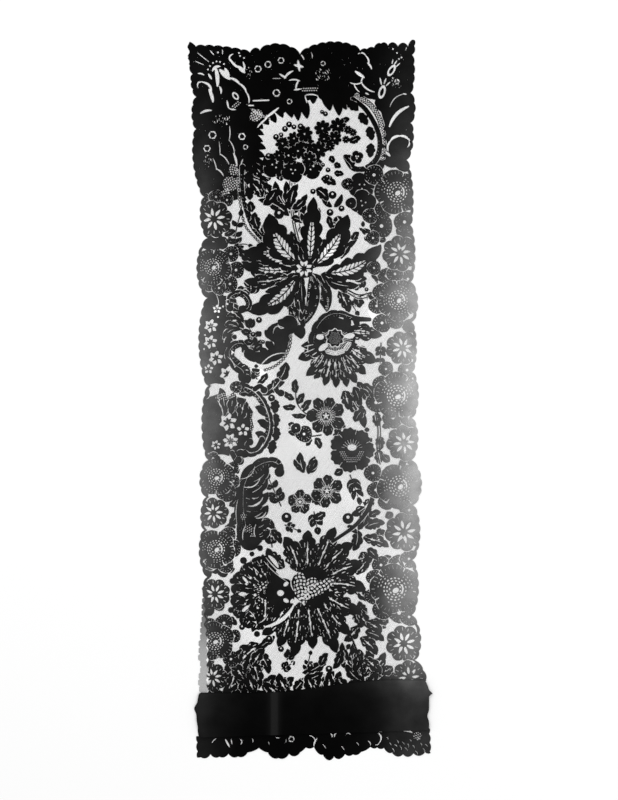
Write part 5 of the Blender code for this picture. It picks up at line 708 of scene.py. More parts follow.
BLOSSOM_PETALS = rows(
    "x y tip_x tip_y wide sag teeth panel",
    (34, 96, 6, 40, 14, 0.06, 3), (40, 90, 27, 26, 14, 0, 4), (50, 90, 50, 22, 14, 0, 4),
    (58, 90, 72, 24, 14, 0, 4), (64, 94, 92, 32, 15, -0.06, 4), (70, 100, 110, 50, 16, -0.06, 4),
    (30, 104, -10, 46, 15, 0.08, 3, 0.2), (70, 108, 132, 76, 19, -0.06, 3, 0.24),
    (72, 134, 142, 127, 18, 0.04, 3, 0.24), (26, 112, -26, 80, 16, 0.06, 3, 0.24),
    (30, 120, -20, 106, 12, 0.06, 2, 0.2),
)
ACANTHUS = rows(
    "x y tip_x tip_y wide sag",
    (-130, -280, -82, -262, 12, -0.12), (-130, -262, -82, -240, 13, -0.12),
    (-132, -240, -86, -212, 14, -0.14), (-134, -216, -86, -186, 14, -0.14),
    (-134, -190, -88, -156, 14, -0.16), (-126, -168, -86, -134, 12, -0.16),
    (-146, -196, -164, -214, 9, 0.1), (-146, -222, -164, -252, 11, 0.1), (-148, -182, -162, -186, 8, 0.1),
    (-136, -268, -150, -290, 11, 0.1),
)
LOW_BLOSSOM = rows(
    "x y tip_x tip_y wide sag teeth",
    (30, -368, 110, -380, 22, 0.04, 4), (30, -358, 104, -330, 22, 0.06, 4),
    (20, -350, 84, -288, 22, 0.06, 5), (8, -346, 48, -256, 22, 0, 5), (-8, -344, -6, -262, 22, 0, 5),
    (-26, -346, -54, -276, 22, -0.08, 4), (26, -388, 98, -426, 22, -0.06, 4),
    (20, -396, 78, -470, 22, -0.06, 5), (8, -404, 52, -508, 23, 0, 5), (-6, -406, 4, -500, 22, 0, 5),
    (-22, -406, -34, -516, 23, 0, 5), (-38, -408, -66, -496, 21, 0.04, 5),
    (-50, -412, -98, -472, 18, 0.08, 4),
)
HUSK_CHAINS = rows(
    "x y angle",
    (-125, 440, -86), (-123, 412, -84), (-74, 292, -40), (84, 586, -40), (105, 560, -56), (119, 531, -76),
    (119, 497, -94), (-72, -15, -90), (-71, -43, -90), (-70, -70, -90), (-78, -96, -100), (132, -42, -86),
    (138, -88, -88), (136, -116, -90),
)
FILLERS = rows(
    "x y tip_x tip_y wide sag",
    (-176, 214, -148, 216, 8, 0.2), (-172, 200, -150, 178, 9, 0.2), (-168, 186, -140, 164, 8, 0.2),
    (-160, 168, -136, 150, 8, 0.2), (-158, 150, -134, 140, 6, 0.2), (-172, 326, -150, 336, 7, 0.1),
    (-170, 318, -142, 318, 6, -0.1), (-160, -130, -146, -150, 8, 0.1), (-170, -196, -150, -204, 9, 0.1),
    (-172, -262, -150, -256, 9, 0.1), (-168, -346, -152, -340, 7, 0.1), (-172, -440, -148, -452, 9, 0.1),
    (-170, -524, -146, -540, 10, 0.1), (-174, -436, -166, -458, 7, 0.1), (150, 318, 132, 326, 7, 0.1),
    (152, 246, 134, 248, 7, 0.1), (156, 146, 138, 140, 8, 0.1), (154, 60, 140, 72, 8, 0.1),
    (160, -44, 142, -56, 9, 0.1), (158, -124, 144, -110, 8, 0.1), (162, -226, 148, -236, 8, 0.1),
    (160, -314, 142, -322, 9, 0.1), (154, -440, 136, -446, 9, 0.1), (162, -534, 138, -548, 11, 0.1),
    (92, -352, 124, -318, 13, 0.12), (92, -372, 118, -404, 11, -0.1), (98, -420, 122, -458, 12, -0.1),
    (94, -452, 66, -484, 12, 0.1), (98, -478, 132, -512, 13, 0.1), (96, -500, 84, -544, 12, 0.1),
    (106, -520, 140, -552, 12, 0.1), (110, -448, 142, -466, 11, 0.1), (60, -500, 44, -540, 10, 0.1),
    (50, -560, 70, -584, 12, 0.1), (10, -588, -6, -548, 13, 0.12), (36, -590, 36, -546, 12),
    (-44, -586, -64, -548, 13, 0.12), (-60, -590, -92, -566, 12, 0.1), (-110, -588, -124, -548, 14, 0.1),
    (-130, -560, -156, -520, 13, 0.1), (-116, -536, -92, -500, 12, 0.1), (70, -586, 104, -566, 12, 0.1),
    (118, -584, 134, -548, 14, 0.1), (-74, 20, -52, 34, 6, 0.1), (-20, 158, 2, 196, 7, 0.1),
    (-56, 196, -70, 216, 8, 0.1), (88, 236, 112, 240, 7, 0.1), (84, 220, 106, 226, 5, 0.1),
    (-96, -240, -74, -262, 8, 0.1), (-80, -262, -60, -290, 9, 0.1), (72, -254, 92, -270, 6, 0.1),
    (62, -140, 46, -150, 8, 0.1), (10, -120, -4, -142, 7, 0.1), (56, -60, 44, -84, 9, 0.1),
    (88, -46, 108, -20, 10, 0.1), (64, 16, 74, -22, 13, 0.1), (84, 24, 96, -14, 10, 0.1),
)


def edge_line(table, at, along_name, out_name, way):
    """An edge at each place: rounded scallops between the table's valleys, with small picots."""
    if table[0][along_name] > table[-1][along_name]:
        bulges = [row["bulge"] for row in table[:-1]][::-1] + [0]
        table = table[::-1]
    else:
        bulges = [row["bulge"] for row in table]
    places = np.array([row[along_name] for row in table], float)
    base = np.interp(at, places, np.array([row[out_name] for row in table], float))
    which = np.clip(np.searchsorted(places, at, "right") - 1, 0, len(places) - 2)
    span = places[which + 1] - places[which]
    share = (at - places[which]) / span
    scallop = np.array(bulges, float)[which] * np.sin(np.pi * np.clip(share, 0, 1)) ** 0.62
    picots = most(np.round(span / 18.0), 1)
    picot = 3.0 * np.abs(np.sin(np.pi * picots * share)) ** 0.7
    return base + way * (scallop + picot - 1.5)


def margin(x, y):
    """How far a point lies inside the panel's own edges, the lower fold left out."""
    left = edge_line(LEFT_EDGE, y, "y", "x", -1)
    right = edge_line(RIGHT_EDGE, y, "y", "x", 1)
    top = edge_line(TOP_EDGE, x, "x", "y", 1)
    return least(x - left, right - x, top - y)


def solid_patch(lace, x, y, a, b, power=2.6):
    """A dense patch with a lobed edge and a few specks, which other motifs lie on."""
    count = round((a + b) / 9)

    def motif(px, py):
        _, theta = polar(px, py, x, y)
        k = (np.abs((px - x) / a) ** power + np.abs((py - y) / b) ** power) ** (1 / power)
        inside = (1 - k) * min(a, b) - 3.4 * np.abs(np.sin(count * theta / 2 + 0.3))
        specks = dots(px + 9 * np.sin(py / 23), py + 8 * np.sin(px / 19), 11.0, 0.6)
        sparse = 2.0 * np.sin(px / 7.3 + py / 29) * np.sin(py / 8.9 - px / 31) + 0.4
        specks = most(specks, sparse, 5 - inside, SPECKS_END - py)
        return inside, specks

    lace.lay((x - a, x + a, y - b, y + b), motif, halo=0)


DENSE_PATCHES = rows(
    "x y a b power",
    (0, -680, 300, 100, 12), (196, -580, 56, 38, 3), (0, 686, 300, 88, 9), (-196, 524, 82, 132, 6),
    (182, 560, 42, 76, 5), (-198, 116, 44, 92, 3), (-176, -52, 62, 62, 3), (-142, -556, 34, 48, 3),
    (-186, 184, 30, 24, 3),
)
DARK_LOBES = rows(
    "x y r",
    (-92, 600, 32), (-64, 590, 20), (-38, 596, 18), (64, 606, 22), (40, 604, 14), (-128, 566, 20),
    (-112, 590, 22), (-12, 612, 16), (92, 606, 16), (-122, 470, 16), (150, 592, 22), (158, 562, 18),
    (166, 536, 18), (162, 506, 19), (160, 480, 18), (186, 474, 20), (212, 492, 18), (136, 470, 12),
    (142, 612, 16), (-128, 448, 12), (-212, 316, 16), (-196, 300, 14), (-178, 312, 13), (-190, 326, 13),
    (-206, 212, 16), (-186, 206, 12), (184, 336, 14), (202, 332, 12), (196, 146, 14), (208, 156, 10),
    (-212, -346, 15), (-192, -338, 12), (-176, -346, 11), (-206, -420, 14), (-184, -412, 12),
    (-214, -188, 10),
)


def draw_borders(lace):
    """The dense cloth of the top, the borders and the end, with hanging leaves along its lower side."""
    each(lace, solid_patch, DENSE_PATCHES)
    each(lace, lobe, DARK_LOBES, hole=0, halo=0)
    each(lace, leaf, HANGING, sag=0.06, vein=0, halo=0)


HANGING = rows(
    "x y tip_x tip_y wide",
    (-56, 600, -38, 562, 10), (-36, 600, -26, 556, 9), (-22, 604, -8, 560, 10), (2, 612, 4, 590, 7),
    (24, 612, 38, 576, 10), (46, 612, 56, 566, 10), (58, 604, 70, 578, 9), (78, 608, 66, 582, 8),
    (-76, 590, -56, 562, 8), (-132, 540, -94, 528, 8), (-132, 526, -96, 514, 8), (-130, 510, -90, 500, 9),
    (-130, 494, -92, 484, 9), (-128, 478, -90, 466, 9), (-126, 464, -88, 452, 9), (-122, 456, -104, 438, 7),
    (-110, 570, -84, 548, 9), (-118, 556, -96, 540, 8), (-88, 576, -70, 552, 8),
)


def draw_top(lace):
    """The scroll work and the light cuts of the dense top, down to where the field starts."""
    trellis(lace, smooth([(92, 605), (119, 588), (138, 557), (144, 520), (143, 484)]), 5.4, 5.2, halo=1.6)
    vine(lace, smooth([(84, 600), (110, 578), (132, 540), (138, 508), (130, 479), (108, 461), (84, 462),
                       (70, 484)]), 4.4, 6, halo=1.3)
    beads(lace, smooth([(-128, 588), (-112, 576), (-98, 566), (-84, 560)]), 2.6, 5.2, hole=0.5)
    beads(lace, smooth([(-147, 458), (-145, 428), (-142, 394), (-132, 348), (-111, 322), (-93, 303)]),
          2.8, 5.6, hole=0.5)
    vine(lace, smooth([(-137, 464), (-136, 428), (-132, 393), (-123, 362), (-110, 337), (-84, 311),
                       (-44, 286), (-26, 274)]), 5.6, 6.5)
    each(lace, opening, TOP_OPENINGS, pitch=4.6, thread=0.85)
    each(lace, slit, TOP_SLITS)
    each(lace, eyelet, EYELETS)
    each(lace, bud_ring, BUD_RINGS)
    berry(lace, -214, 616, 8, hole=0, halo=0)
    berry(lace, 186, 510, 9, hole=0, halo=0)
    for x, y in ((-206, 659), (-202, 666), (-196, 672), (-189, 675), (-182, 674), (-174, 670), (-144, 692),
                 (-142, 686), (-134, 682), (176, 680), (181, 683), (-186, 693), (172, 692), (164, 700)):
        opening(lace, x, y, 1.8, 1.8)


def bud_ring(lace, x, y, a, b, turn):
    """A bud drawn by a light ring with a dark heart."""
    opening(lace, x, y, a, b, turn)
    c, s = np.cos(np.radians(turn)), np.sin(np.radians(turn))
    u, v = 0.62 * a * c, 0.62 * a * s
    leaf(lace, x - u, y - v, x + u, y + v, 0.5 * b, vein=0, halo=0)


def draw_field(lace):
    """The leaves, sprigs and small flowers strewn over the open ground."""
    each(lace, sprig, SPRIGS)
    vine(lace, smooth([(-40, 448), (-40, 400), (-34, 350), (-16, 280)]), 3.0, 3.4, slit=0.3)
    vine(lace, smooth([(64, 214), (92, 206), (122, 212)]), 1.8, 1.4)
    for row in LEAVES:
        leaf(lace, **row, nicked=0.7 if row["wide"] > 12 else 0)
    for row in FILLERS:
        wide = row["wide"]
        leaf(lace, **row, teeth=3 if wide > 8 else 0, nicked=0.6 if wide > 10 else 0)
    each(lace, pansy, PANSIES)
    each(lace, husk, HUSK_CHAINS, long=29, wide=10)
    each(lace, posy, BOUQUET)
    each(lace, berry, BERRIES)


def pansy(lace, x, y, r, turn):
    """A dark flower of four round lobes with three light dots at its heart."""

    def motif(px, py):
        rho, theta = polar(px, py, x, y)
        lobes = r * (1 - 0.17 * (1 - np.abs(np.cos(2 * (theta - turn))))) - rho
        spots = np.full(px.shape, FAR)
        for k in range(3):
            a = turn + 2.1 * k
            spots = least(spots, np.hypot(px - x - 0.2 * r * np.cos(a), py - y - 0.2 * r * np.sin(a)))
        crease = np.abs(np.cos(2 * (theta - turn))) * rho / 2 - 0.5
        crease = most(crease, 0.68 * r - rho)
        return lobes, least(spots - 1.7, crease)

    lace.lay(around(x, y, r), motif)


def draw_star(lace):
    """The large star of leaves below the bouquet."""
    for row in rows("tip_x tip_y wide", (32, 174, 17), (2, 180, 11), (-12, 150, 13)):
        leaf(lace, 0, 250, **row, sag=0.1, vein=0)
        for sag in (0.0, 0.20):
            beads(lace, bent(0, 244, row["tip_x"], row["tip_y"] + 6, sag, 8), 2.0, 4.2, hole=0.6, halo=0.6)
    each(lace, leaf, STAR_LEAVES)
    lobe(lace, -14, 261, 19, hole=0, halo=0)
    light_flower(lace, -14, 261, 17, 8, 0.4)


TRUMPET_LEAVES = rows(
    "x y tip_x tip_y wide",
    (10, 110, 30, 124, 9), (22, 146, 44, 142, 10), (44, 160, 58, 138, 11), (66, 162, 74, 142, 9),
    (84, 158, 96, 146, 6),
)


def draw_blossom(lace):
    """The middle blossom with its horn, and the flowers below it."""
    each(lace, leaf, BLOSSOM_PETALS, nicked=0.75)
    vine(lace, smooth([(8, 96), (7, 122), (16, 148), (36, 167), (60, 170), (88, 161), (117, 159)]), 14, 4,
         halo=1.4)
    each(lace, leaf, TRUMPET_LEAVES, sag=0.1, vein=0, halo=0)

    blossom_heart(lace, 48, 122)
    for angle, long, fill in ((8, 10, ""), (-34, 11, "bars"), (-72, 12, "bars"), (-106, 12, "bars"),
                              (-142, 11, ""), (176, 8, "")):
        c, s = np.cos(np.radians(angle)), np.sin(np.radians(angle))
        opening(lace, 48 + 30 * c, 122 + 30 * s, long, 5.6, angle + 90 if fill else angle, fill, 3.4, 0.45)
    for k in range(15):
        angle = np.radians(-168 + 11 * k)
        c, s = np.cos(angle), np.sin(angle)
        far = 62 + 7 * np.sin(2.3 * k)
        slit(lace, 48 + 44 * c, 118 + 44 * s, 48 + far * c, 118 + far * s, 1.0)
    each(lace, seed_flower, SEED_FLOWERS)
    round_flower(lace, 82, -102)


def blossom_heart(lace, x, y):
    """The round heart: a ring about seeds, and rays below."""

    def motif(px, py):
        rho, theta = polar(px, py, x, y)
        ring = np.abs(rho - 17.5 - 1.5 * np.sin(9 * theta)) - 1.1
        seeds = most(dots(px - x, py - y, 4.0, 0.9), rho - 13)
        rays = spokes(rho, theta, 22, 0.5)
        rays = most(rays, 18 - rho, rho - 38 - 3 * np.sin(5 * theta), (py - y - 12) * 0.6)
        return 41 - rho, least(ring, seeds, rays)

    lace.lay(around(x, y, 41), motif, halo=0)


def round_flower(lace, x, y):
    """A round flower with an oval eye over a band of seeds and rays."""

    def motif(px, py):
        rho, theta = polar(px, py, x, y)
        up = py - y
        outline = 45 * (1 - 0.12 * (1 - np.abs(np.cos(3.5 * (theta - 0.9)))))
        outline = outline * (1 + 0.03 * np.cos(23 * theta))
        eye = np.hypot((px - x) / 1.4, up - 5) - 6.5
        seeds = most(np.abs(rho - 20) - 6.0, (up + 2) * 0.9, dots(px - x + 2, up - 2, 3.9, 1.15))
        rays = most(np.abs(rho - 16) - 6, 4 - up, spokes(rho, theta, 11, 0.5))
        gap = most(np.abs(np.sin(3.5 * (theta - 0.9) + np.pi / 2)) * rho / 3.5 - 0.6, 31 - rho)
        return outline - rho, least(eye, seeds, rays, gap)

    lace.lay(around(x, y, 46), motif)


def seed_flower(lace, x, y, r, petals):
    """A ragged flower of notched petals with a light heart and fine rays."""

    def motif(px, py):
        rho, theta = polar(px, py, x, y)
        wave = petals * (theta - 0.4) / 2 + 0.25 * np.sin(2 * theta + 0.1 * x)
        ragged = 0.05 * np.abs(np.sin(3 * wave)) + 0.04 * np.sin(5 * theta + y)
        outline = r * (1 - 0.3 * (1 - np.abs(np.cos(wave)) ** 0.7) + ragged)
        rays = np.abs(np.sin(2 * petals * theta)) * rho / (2 * petals) - 0.5
        reach = r * (0.52 + 0.12 * np.sin(7 * theta + x) + 0.1 * np.cos(petals * theta))
        rays = most(rays, 0.22 * r - rho, rho - reach)
        heart = rho - r * (0.13 + 0.06 * np.sin(5 * theta))
        seeds = most(dots(px - x, py - y, 4.4, 1.0), np.abs(rho - 0.3 * r) - 0.1 * r)
        gap = most(np.abs(np.cos(wave)) * rho * 2 / petals - 0.7, 0.5 * r - rho)
        rim = most(spokes(rho, theta, 8, 0.4), np.abs(rho - 0.76 * r) - 0.07 * r)
        light = least(heart, rays, gap, seeds)
        return outline - rho, least(light, rim)

    lace.lay(around(x, y, r * 1.15), motif)


SCROLL_LEAVES = rows(
    "x y tip_x tip_y wide sag teeth halo",
    (-172, 148, -144, 143, 9, 0.1, 2, 1.2), (-168, 166, -148, 160, 8, 0.1, 2, 1.2),
    (-176, 120, -137, 139, 7, 0.2, 2, 1.2), (-122, 142, -130, 158, 6, 0, 0, 1.2), (-120, 142, -114, 160, 6),
    (-122, 132, -140, 136, 7, 0, 0, 1.2), (-116, 112, -134, 116, 7, 0, 0, 1.2),
    (-98, 110, -116, 96, 8, 0, 2, 1.2),
)
CRESCENT_LEAVES = rows(
    "x y tip_x tip_y wide",
    (-74, 124, -92, 138, 8), (-74, 104, -90, 116, 8), (-86, 92, -102, 104, 7), (-30, 146, -20, 120, 12),
    (-50, 152, -66, 158, 8),
)
BAND_LEAVES = rows("x y tip_x tip_y", (-94, -34, -112, -16), (-90, -60, -108, -44), (-94, -84, -112, -68))
SCROLL_SLITS = rows(
    "x y tip_x tip_y wide sag",
    (-134, -176, -102, -160, 1.3, -0.2), (-126, -214, -96, -196, 1.5, -0.2),
    (-110, -238, -90, -226, 1.3, -0.2), (-142, -160, -112, -134, 0.8, -0.2),
    (-148, -250, -146, -200, 0.8, 0.06), (-136, -282, -130, -252, 1, 0.1), (-112, -276, -110, -250, 1, 0.1),
    (-188, -2, -176, -36, 0.9, 0.1), (-166, 84, -152, 62, 0.9, 0.1), (-190, 209, -189, 178, 0.8, 0.15),
    (-174, 112, -170, 124, 1, 0.1), (-220, 24, -222, -20, 0.8, 0.05), (-60, 40, -78, 18, 0.8, 0.05),
)
SCROLL_OPENINGS = rows(
    "x y a b turn fill",
    (-135, -234, 7, 7, 0, "dots"), (-124, -260, 9, 7, 30, "dots"), (-116, -272, 6, 5, 0, "dots"),
    (-166, 7, 26, 8, 10, "lattice"), (-112, -2, 8, 6, 20, "lattice"), (-116, -52, 6, 26, 4, "lattice"),
    (-140, 190, 7, 3.5, 10), (-160, -84, 14, 8, 0, "dots"), (-196, 148, 8, 5, 0, "dots"),
)


def draw_left_scrolls(lace):
    """Two scrolls beside the left border, with small leaves between them."""
    lower_scroll = [(-132, 42), (-136, 58), (-154, 72), (-163, 92), (-152, 108), (-137, 110), (-131, 98)]
    vine(lace, smooth(lower_scroll), 14, 6, ball=8)
    upper_scroll = [(-162, 182), (-160, 204), (-140, 211), (-125, 196), (-127, 182), (-137, 180)]
    vine(lace, smooth(upper_scroll), 7.5, 6, ball=8)
    lobe(lace, -153, 124, 5, hole=0)
    each(lace, leaf, SCROLL_LEAVES, vein=0.6)


def draw_crescent(lace):
    """The broad crescent left of the middle blossom."""
    crescent = [(-44, 150), (-56, 132), (-60, 104), (-80, 86), (-104, 82), (-124, 90)]
    vine(lace, smooth(crescent), 19, 11, halo=1.5, veined=False)
    lobe(lace, -68, 132, 21, hole=0, halo=0)
    each(lace, leaf, CRESCENT_LEAVES, sag=0.1, vein=0, halo=0)
    slit(lace, -76, 130, -54, 142, 0.9, 0.4)
    slit(lace, -54, 142, -66, 150, 0.9, 0.3)
    slit(lace, -101, 66, -52, 92, 1.3, 0.14)
    beads(lace, smooth([(-40, 128), (-43, 104), (-54, 82), (-72, 66), (-92, 58)]), 3.2, 6.6, hole=0.5)


def draw_round_band(lace):
    """The ring band round the small flowers at the left, with its curls."""
    round_band = [(-146, 28), (-116, 16), (-94, -10), (-83, -46), (-88, -78), (-108, -104), (-142, -110)]
    vine(lace, smooth(round_band), 8, 8.5, slit=0.07)
    each(lace, leaf, BAND_LEAVES, wide=8, sag=-0.2, vein=0, halo=1.2)
    vine(lace, smooth([(-98, -80), (-108, -98), (-122, -102), (-128, -92), (-122, -86)]), 5, 4, ball=7)
    vine(lace, smooth([(-68, 36), (-70, 22), (-66, 14), (-60, 12)]), 6, 4, ball=7)
    vine(lace, smooth([(8, -36), (-12, -28), (-28, -8), (-31, 20)]), 1.2, 1.0, halo=0.6)
    vine(lace, smooth([(20, -72), (-10, -74), (-44, -58)]), 1.4, 1.0, halo=0.6)
    vine(lace, smooth([(-112, 20), (-102, 26), (-94, 18)]), 5, 4, ball=7)
    berry(lace, -79, 2, 7, hole=0.25)
    vine(lace, smooth([(-158, -108), (-150, -122), (-142, -124)]), 5, 5, ball=8)


def draw_acanthus(lace):
    """The tall curled leaf low at the left."""
    each(lace, leaf, ACANTHUS, teeth=2, vein=0.9, halo=1.2)
    acanthus = [(-122, -282), (-130, -246), (-134, -212), (-133, -178), (-122, -150), (-103, -133),
                (-80, -126), (-64, -133), (-63, -146)]
    vine(lace, smooth(acanthus), 24, 7, ball=10, halo=0)


def draw_scroll_lights(lace):
    """The light cuts in the scrolls, and the berries beside them."""
    each(lace, slit, SCROLL_SLITS)
    each(lace, opening, SCROLL_OPENINGS, pitch=4.2)
    for x, y in ((-167, 190), (-176, 185), (-184, 175), (-186, 164), (-214, 100), (-212, 128)):
        opening(lace, x, y, 2.0, 2.0)
    berry(lace, -102, -298, 6, hole=0)
    berry(lace, -145, -122, 7, hole=0)
    for x, y, r in ((-135, -323, 7), (-157, -364, 6), (-160, -422, 6), (-118, -310, 5), (-108, -470, 6)):
        berry(lace, x, y, r, hole=0)


def draw_stems(lace):
    """The long stems at the right."""
    vine(lace, smooth([(43, -285), (86, -255), (112, -224), (124, -196)]), 3.2, 5)
    vine(lace, smooth([(128, -22), (134, -62), (132, -100), (138, -130)]), 1.3, 1.3)
    vine(lace, smooth([(133, -22), (139, -62), (137, -100), (141, -126)]), 1.0, 1.0, halo=0.8)
    vine(lace, smooth([(78, -470), (92, -504), (102, -540), (106, -576)]), 1.6, 2.6, halo=0.6)
    vine(lace, smooth([(74, 218), (96, 208), (124, 214)]), 1.6, 1.2)
    vine(lace, smooth([(74, 212), (96, 201), (122, 206)]), 1.2, 1.0)


WING_LOBES = rows(
    "x y r",
    (-84, -330, 20), (-104, -334, 20), (-124, -344, 18), (-140, -360, 17), (-146, -380, 14),
    (-146, -404, 15), (-140, -424, 17), (-126, -442, 17), (-106, -446, 16), (-90, -440, 14),
    (-98, -390, 50),
)
LOW_OPENINGS = rows(
    "x y a b turn fill",
    (12, -380, 38, 13, 30, "lattice"), (-19, -378, 15, 32, 8, "lattice"), (2, -366, 12, 9, 12, "lattice"),
    (-61, -388, 7, 6), (-50, -370, 6, 4, 40), (-50, -403, 6, 4, -30), (-38, -404, 5, 3, 60),
    (-137, -390, 8, 4), (-131, -362, 9, 2.6, -50), (-131, -419, 9, 3.4, 40),
    (-97, -375, 17, 4.6, 42, "dots"), (-96, -404, 14, 4.2, -28, "dots"), (-112, -392, 3, 3),
    (-100, -354, 2, 2), (-92, -350, 2, 2), (-114, -372, 2, 2), (-106, -418, 2, 2),
)
LOW_SLITS = rows(
    "x y tip_x tip_y wide sag",
    (-92, -456, -34, -412, 3.6, -0.12), (-90, -317, -40, -362, 1.2, -0.05), (-84, -314, -66, -336, 4, 0.05),
    (-40, -362, -34, -384, 1.2, -0.1), (-94, -324, -46, -366, 0.8, -0.05), (-116, -336, -104, -348, 0.9),
    (-124, -424, -112, -440, 0.9, 0.1), (-86, -430, -104, -448, 0.8, 0.1),
)


def draw_low_blossom(lace):
    """The large lowest flower, with a round wing at its left."""
    each(lace, leaf, LOW_BLOSSOM, vein=0.8, halo=0.9, nicked=0.74)
    each(lace, lobe, WING_LOBES, hole=0, halo=0)
    for tip_x, tip_y in ((-96, -310), (-116, -318), (-136, -332), (-152, -350), (-160, -374), (-162, -396),
                         (-158, -418), (-150, -438), (-136, -456), (-118, -466), (-98, -462)):
        leaf(lace, -92, -390, tip_x, tip_y, 17, 0.05, 2, vein=0.9, halo=0.8, nicked=0.9)
    lobe(lace, -60, -388, 30, hole=0, halo=0)
    lobe(lace, 0, -374, 40, hole=0, halo=0)
    each(lace, opening, LOW_OPENINGS, pitch=7.2, thread=1.2)
    each(lace, slit, LOW_SLITS)


def draw_edges(lace):
    """The rounds along both side borders."""
    each(lace, lobe, ROUND_LOBES)
    each(lace, daisy, DAISIES)
    each(lace, rose, ROSES)
    each(lace, light_flower, LIGHT_FLOWERS)


END_SLITS = rows(
    "x y tip_x tip_y wide sag",
    (-198, -688, -189, -679, 0.8, 0.1), (-171, -681, -163, -696, 1.8), (-160, -680, -158, -690, 1),
    (-142, -680, -141, -691, 1.1, 0.3), (-118, -679, -117, -687, 0.9, 0.2), (-70, -677, -63, -678, 1),
    (-50, -680, -52, -687, 0.7, 0.2), (-4, -673, 9, -686, 0.9, 0.2), (6, -694, 12, -679, 1.7, 0.1),
    (39, -669, 42, -676, 1.3, 0.2), (51, -668, 47, -676, 1.2, -0.2), (70, -671, 79, -671, 0.9, 0.3),
    (129, -664, 142, -665, 2.6, 0.1), (135, -668, 138, -686, 1.6, 0.2), (138, -684, 128, -692, 0.9, 0.2),
    (114, -684, 119, -693, 0.9, 0.2), (186, -664, 202, -667, 2, 0.1), (-86, -684, -84, -692, 0.6, 0.1),
    (22, -690, 30, -700, 0.6, 0.1), (60, -694, 66, -702, 0.6, 0.1), (90, -686, 96, -694, 0.6, 0.1),
)


def draw_end(lace):
    """The light lines between the motifs of the end that shows below the fold."""
    each(lace, slit, END_SLITS)
    eyelet(lace, -39, -680, 6)
    opening(lace, 213, -674, 9, 8, 20, "dots", 4.4, 0.9)
    for k in range(16):
        x = 151 + 5.1 * k
        y = -676 - 6 * (k % 3) - 5 * (k % 4)
        slit(lace, x, y, x + 3 + k % 4, y - 5 - 2 * (k % 3), 0.6, 0.2)


def draw_rim(lace):
    """The firm edge that the outer scallops share."""
    x, y = np.meshgrid(lace.x, lace.y)
    lace.height = most(lace.height, RIM - margin(x, y))


def draw(lace):
    """Lays the whole pattern, the lower motifs first."""
    for stage in (draw_borders, draw_end, draw_top, draw_field, draw_star, draw_low_blossom, draw_blossom,
                  draw_left_scrolls, draw_crescent, draw_round_band, draw_acanthus, draw_scroll_lights,
                  draw_stems, draw_edges, draw_rim):
        stage(lace)


END_EDGE = rows(
    "x y bulge",
    (-250, -704, 0), (-240, -706, 9), (-201, -711, 6), (-165, -710, 7), (-127, -708, -1), (-104, -699, -1),
    (-86, -708, 10), (-44, -710, 4), (-22, -708, -2), (-10, -698, 0), (6, -697, 3), (24, -712, 7),
    (46, -716, 5), (68, -711, 3), (100, -707, -1), (119, -697, 0), (146, -699, 2), (162, -708, 4),
    (184, -711, 4), (205, -709, 4), (228, -707, 2), (244, -704, 0),
)


def band_top(x):
    """The fold's upper edge. It lies higher at the right, where a second fold comes out from under it."""
    t = np.clip((x + 110) / 270, 0, 1)
    return BAND_TOP_LEFT + (BAND_TOP_RIGHT - BAND_TOP_LEFT) * t * t * (3 - 2 * t)


def band_low(x):
    """The fold's lower edge."""
    return np.interp(x, (LEFT, RIGHT), (BAND_LOW_LEFT, BAND_LOW_RIGHT))


def end_edge(x):
    """The scalloped edge of the end that comes out from under the fold."""
    return edge_line(END_EDGE, x, "x", "y", -1)


def outlines(field, x, y):
    """Closed loops at height 0 of a grid."""
    field = np.where(np.abs(field) < 0.02, np.where(field > 0, 0.02, -0.02), field)
    field[0] = field[-1] = -1
    field[:, 0] = field[:, -1] = -1
    filled = field > 0
    corner = filled[:-1, :-1] * 1 + filled[:-1, 1:] * 2 + filled[1:, 1:] * 4 + filled[1:, :-1] * 8
    # Each cell's sides are 0 low, 1 right, 2 high, 3 left. A run enters by one and leaves by another.
    runs = {1: ((0, 3),), 2: ((1, 0),), 3: ((1, 3),), 4: ((2, 1),), 5: ((0, 1), (2, 3)), 6: ((2, 0),),
            7: ((2, 3),), 8: ((3, 2),), 9: ((0, 2),), 10: ((1, 2), (3, 0)), 11: ((1, 2),), 12: ((3, 1),),
            13: ((0, 1),), 14: ((3, 0),)}
    after = {}
    cells = np.argwhere((corner > 0) & (corner < 15))
    kinds = corner[cells[:, 0], cells[:, 1]].tolist()
    for (line, column), kind in zip(cells.tolist(), kinds):
        sides = ((0, line, column), (1, line, column + 1), (0, line + 1, column), (1, line, column))
        for enter, leave in runs[kind]:
            after[sides[enter]] = sides[leave]
    loops = []
    while after:
        start, step = after.popitem()
        loop = [start]
        while step != start:
            loop.append(step)
            step = after.pop(step)
        kind, line, column = np.array(loop).T
        upright = kind == 1
        a = field[line, column]
        b = field[line + upright, column + ~upright]
        t = a / (a - b)
        at_x = x[column] + np.where(upright, 0, t * (x[1] - x[0]))
        at_y = y[line] + np.where(upright, t * (y[1] - y[0]), 0)
        loops.append(np.stack((at_x, at_y), 1))
    return loops


def trimmed(loop, most):
    """The loop with fewer points, none of its old points farther than most from it."""
    far = int(((loop - loop[0]) ** 2).sum(1).argmax())
    keep = {0, far}
    work = [(0, far), (far, len(loop))]
    ring = np.concatenate([loop, loop[:1]])
    while work:
        a, b = work.pop()
        if b - a < 2:
            continue
        way = ring[b] - ring[a]
        between = ring[a + 1:b] - ring[a]
        size = np.hypot(*way)
        if size < 1e-9:
            off = np.hypot(*between.T)
        else:
            off = np.abs(way[0] * between[:, 1] - way[1] * between[:, 0]) / size
        k = int(off.argmax())
        if off[k] > most:
            middle = a + 1 + k
            keep.add(middle)
            work += [(a, middle), (middle, b)]
    return loop[sorted(keep)]


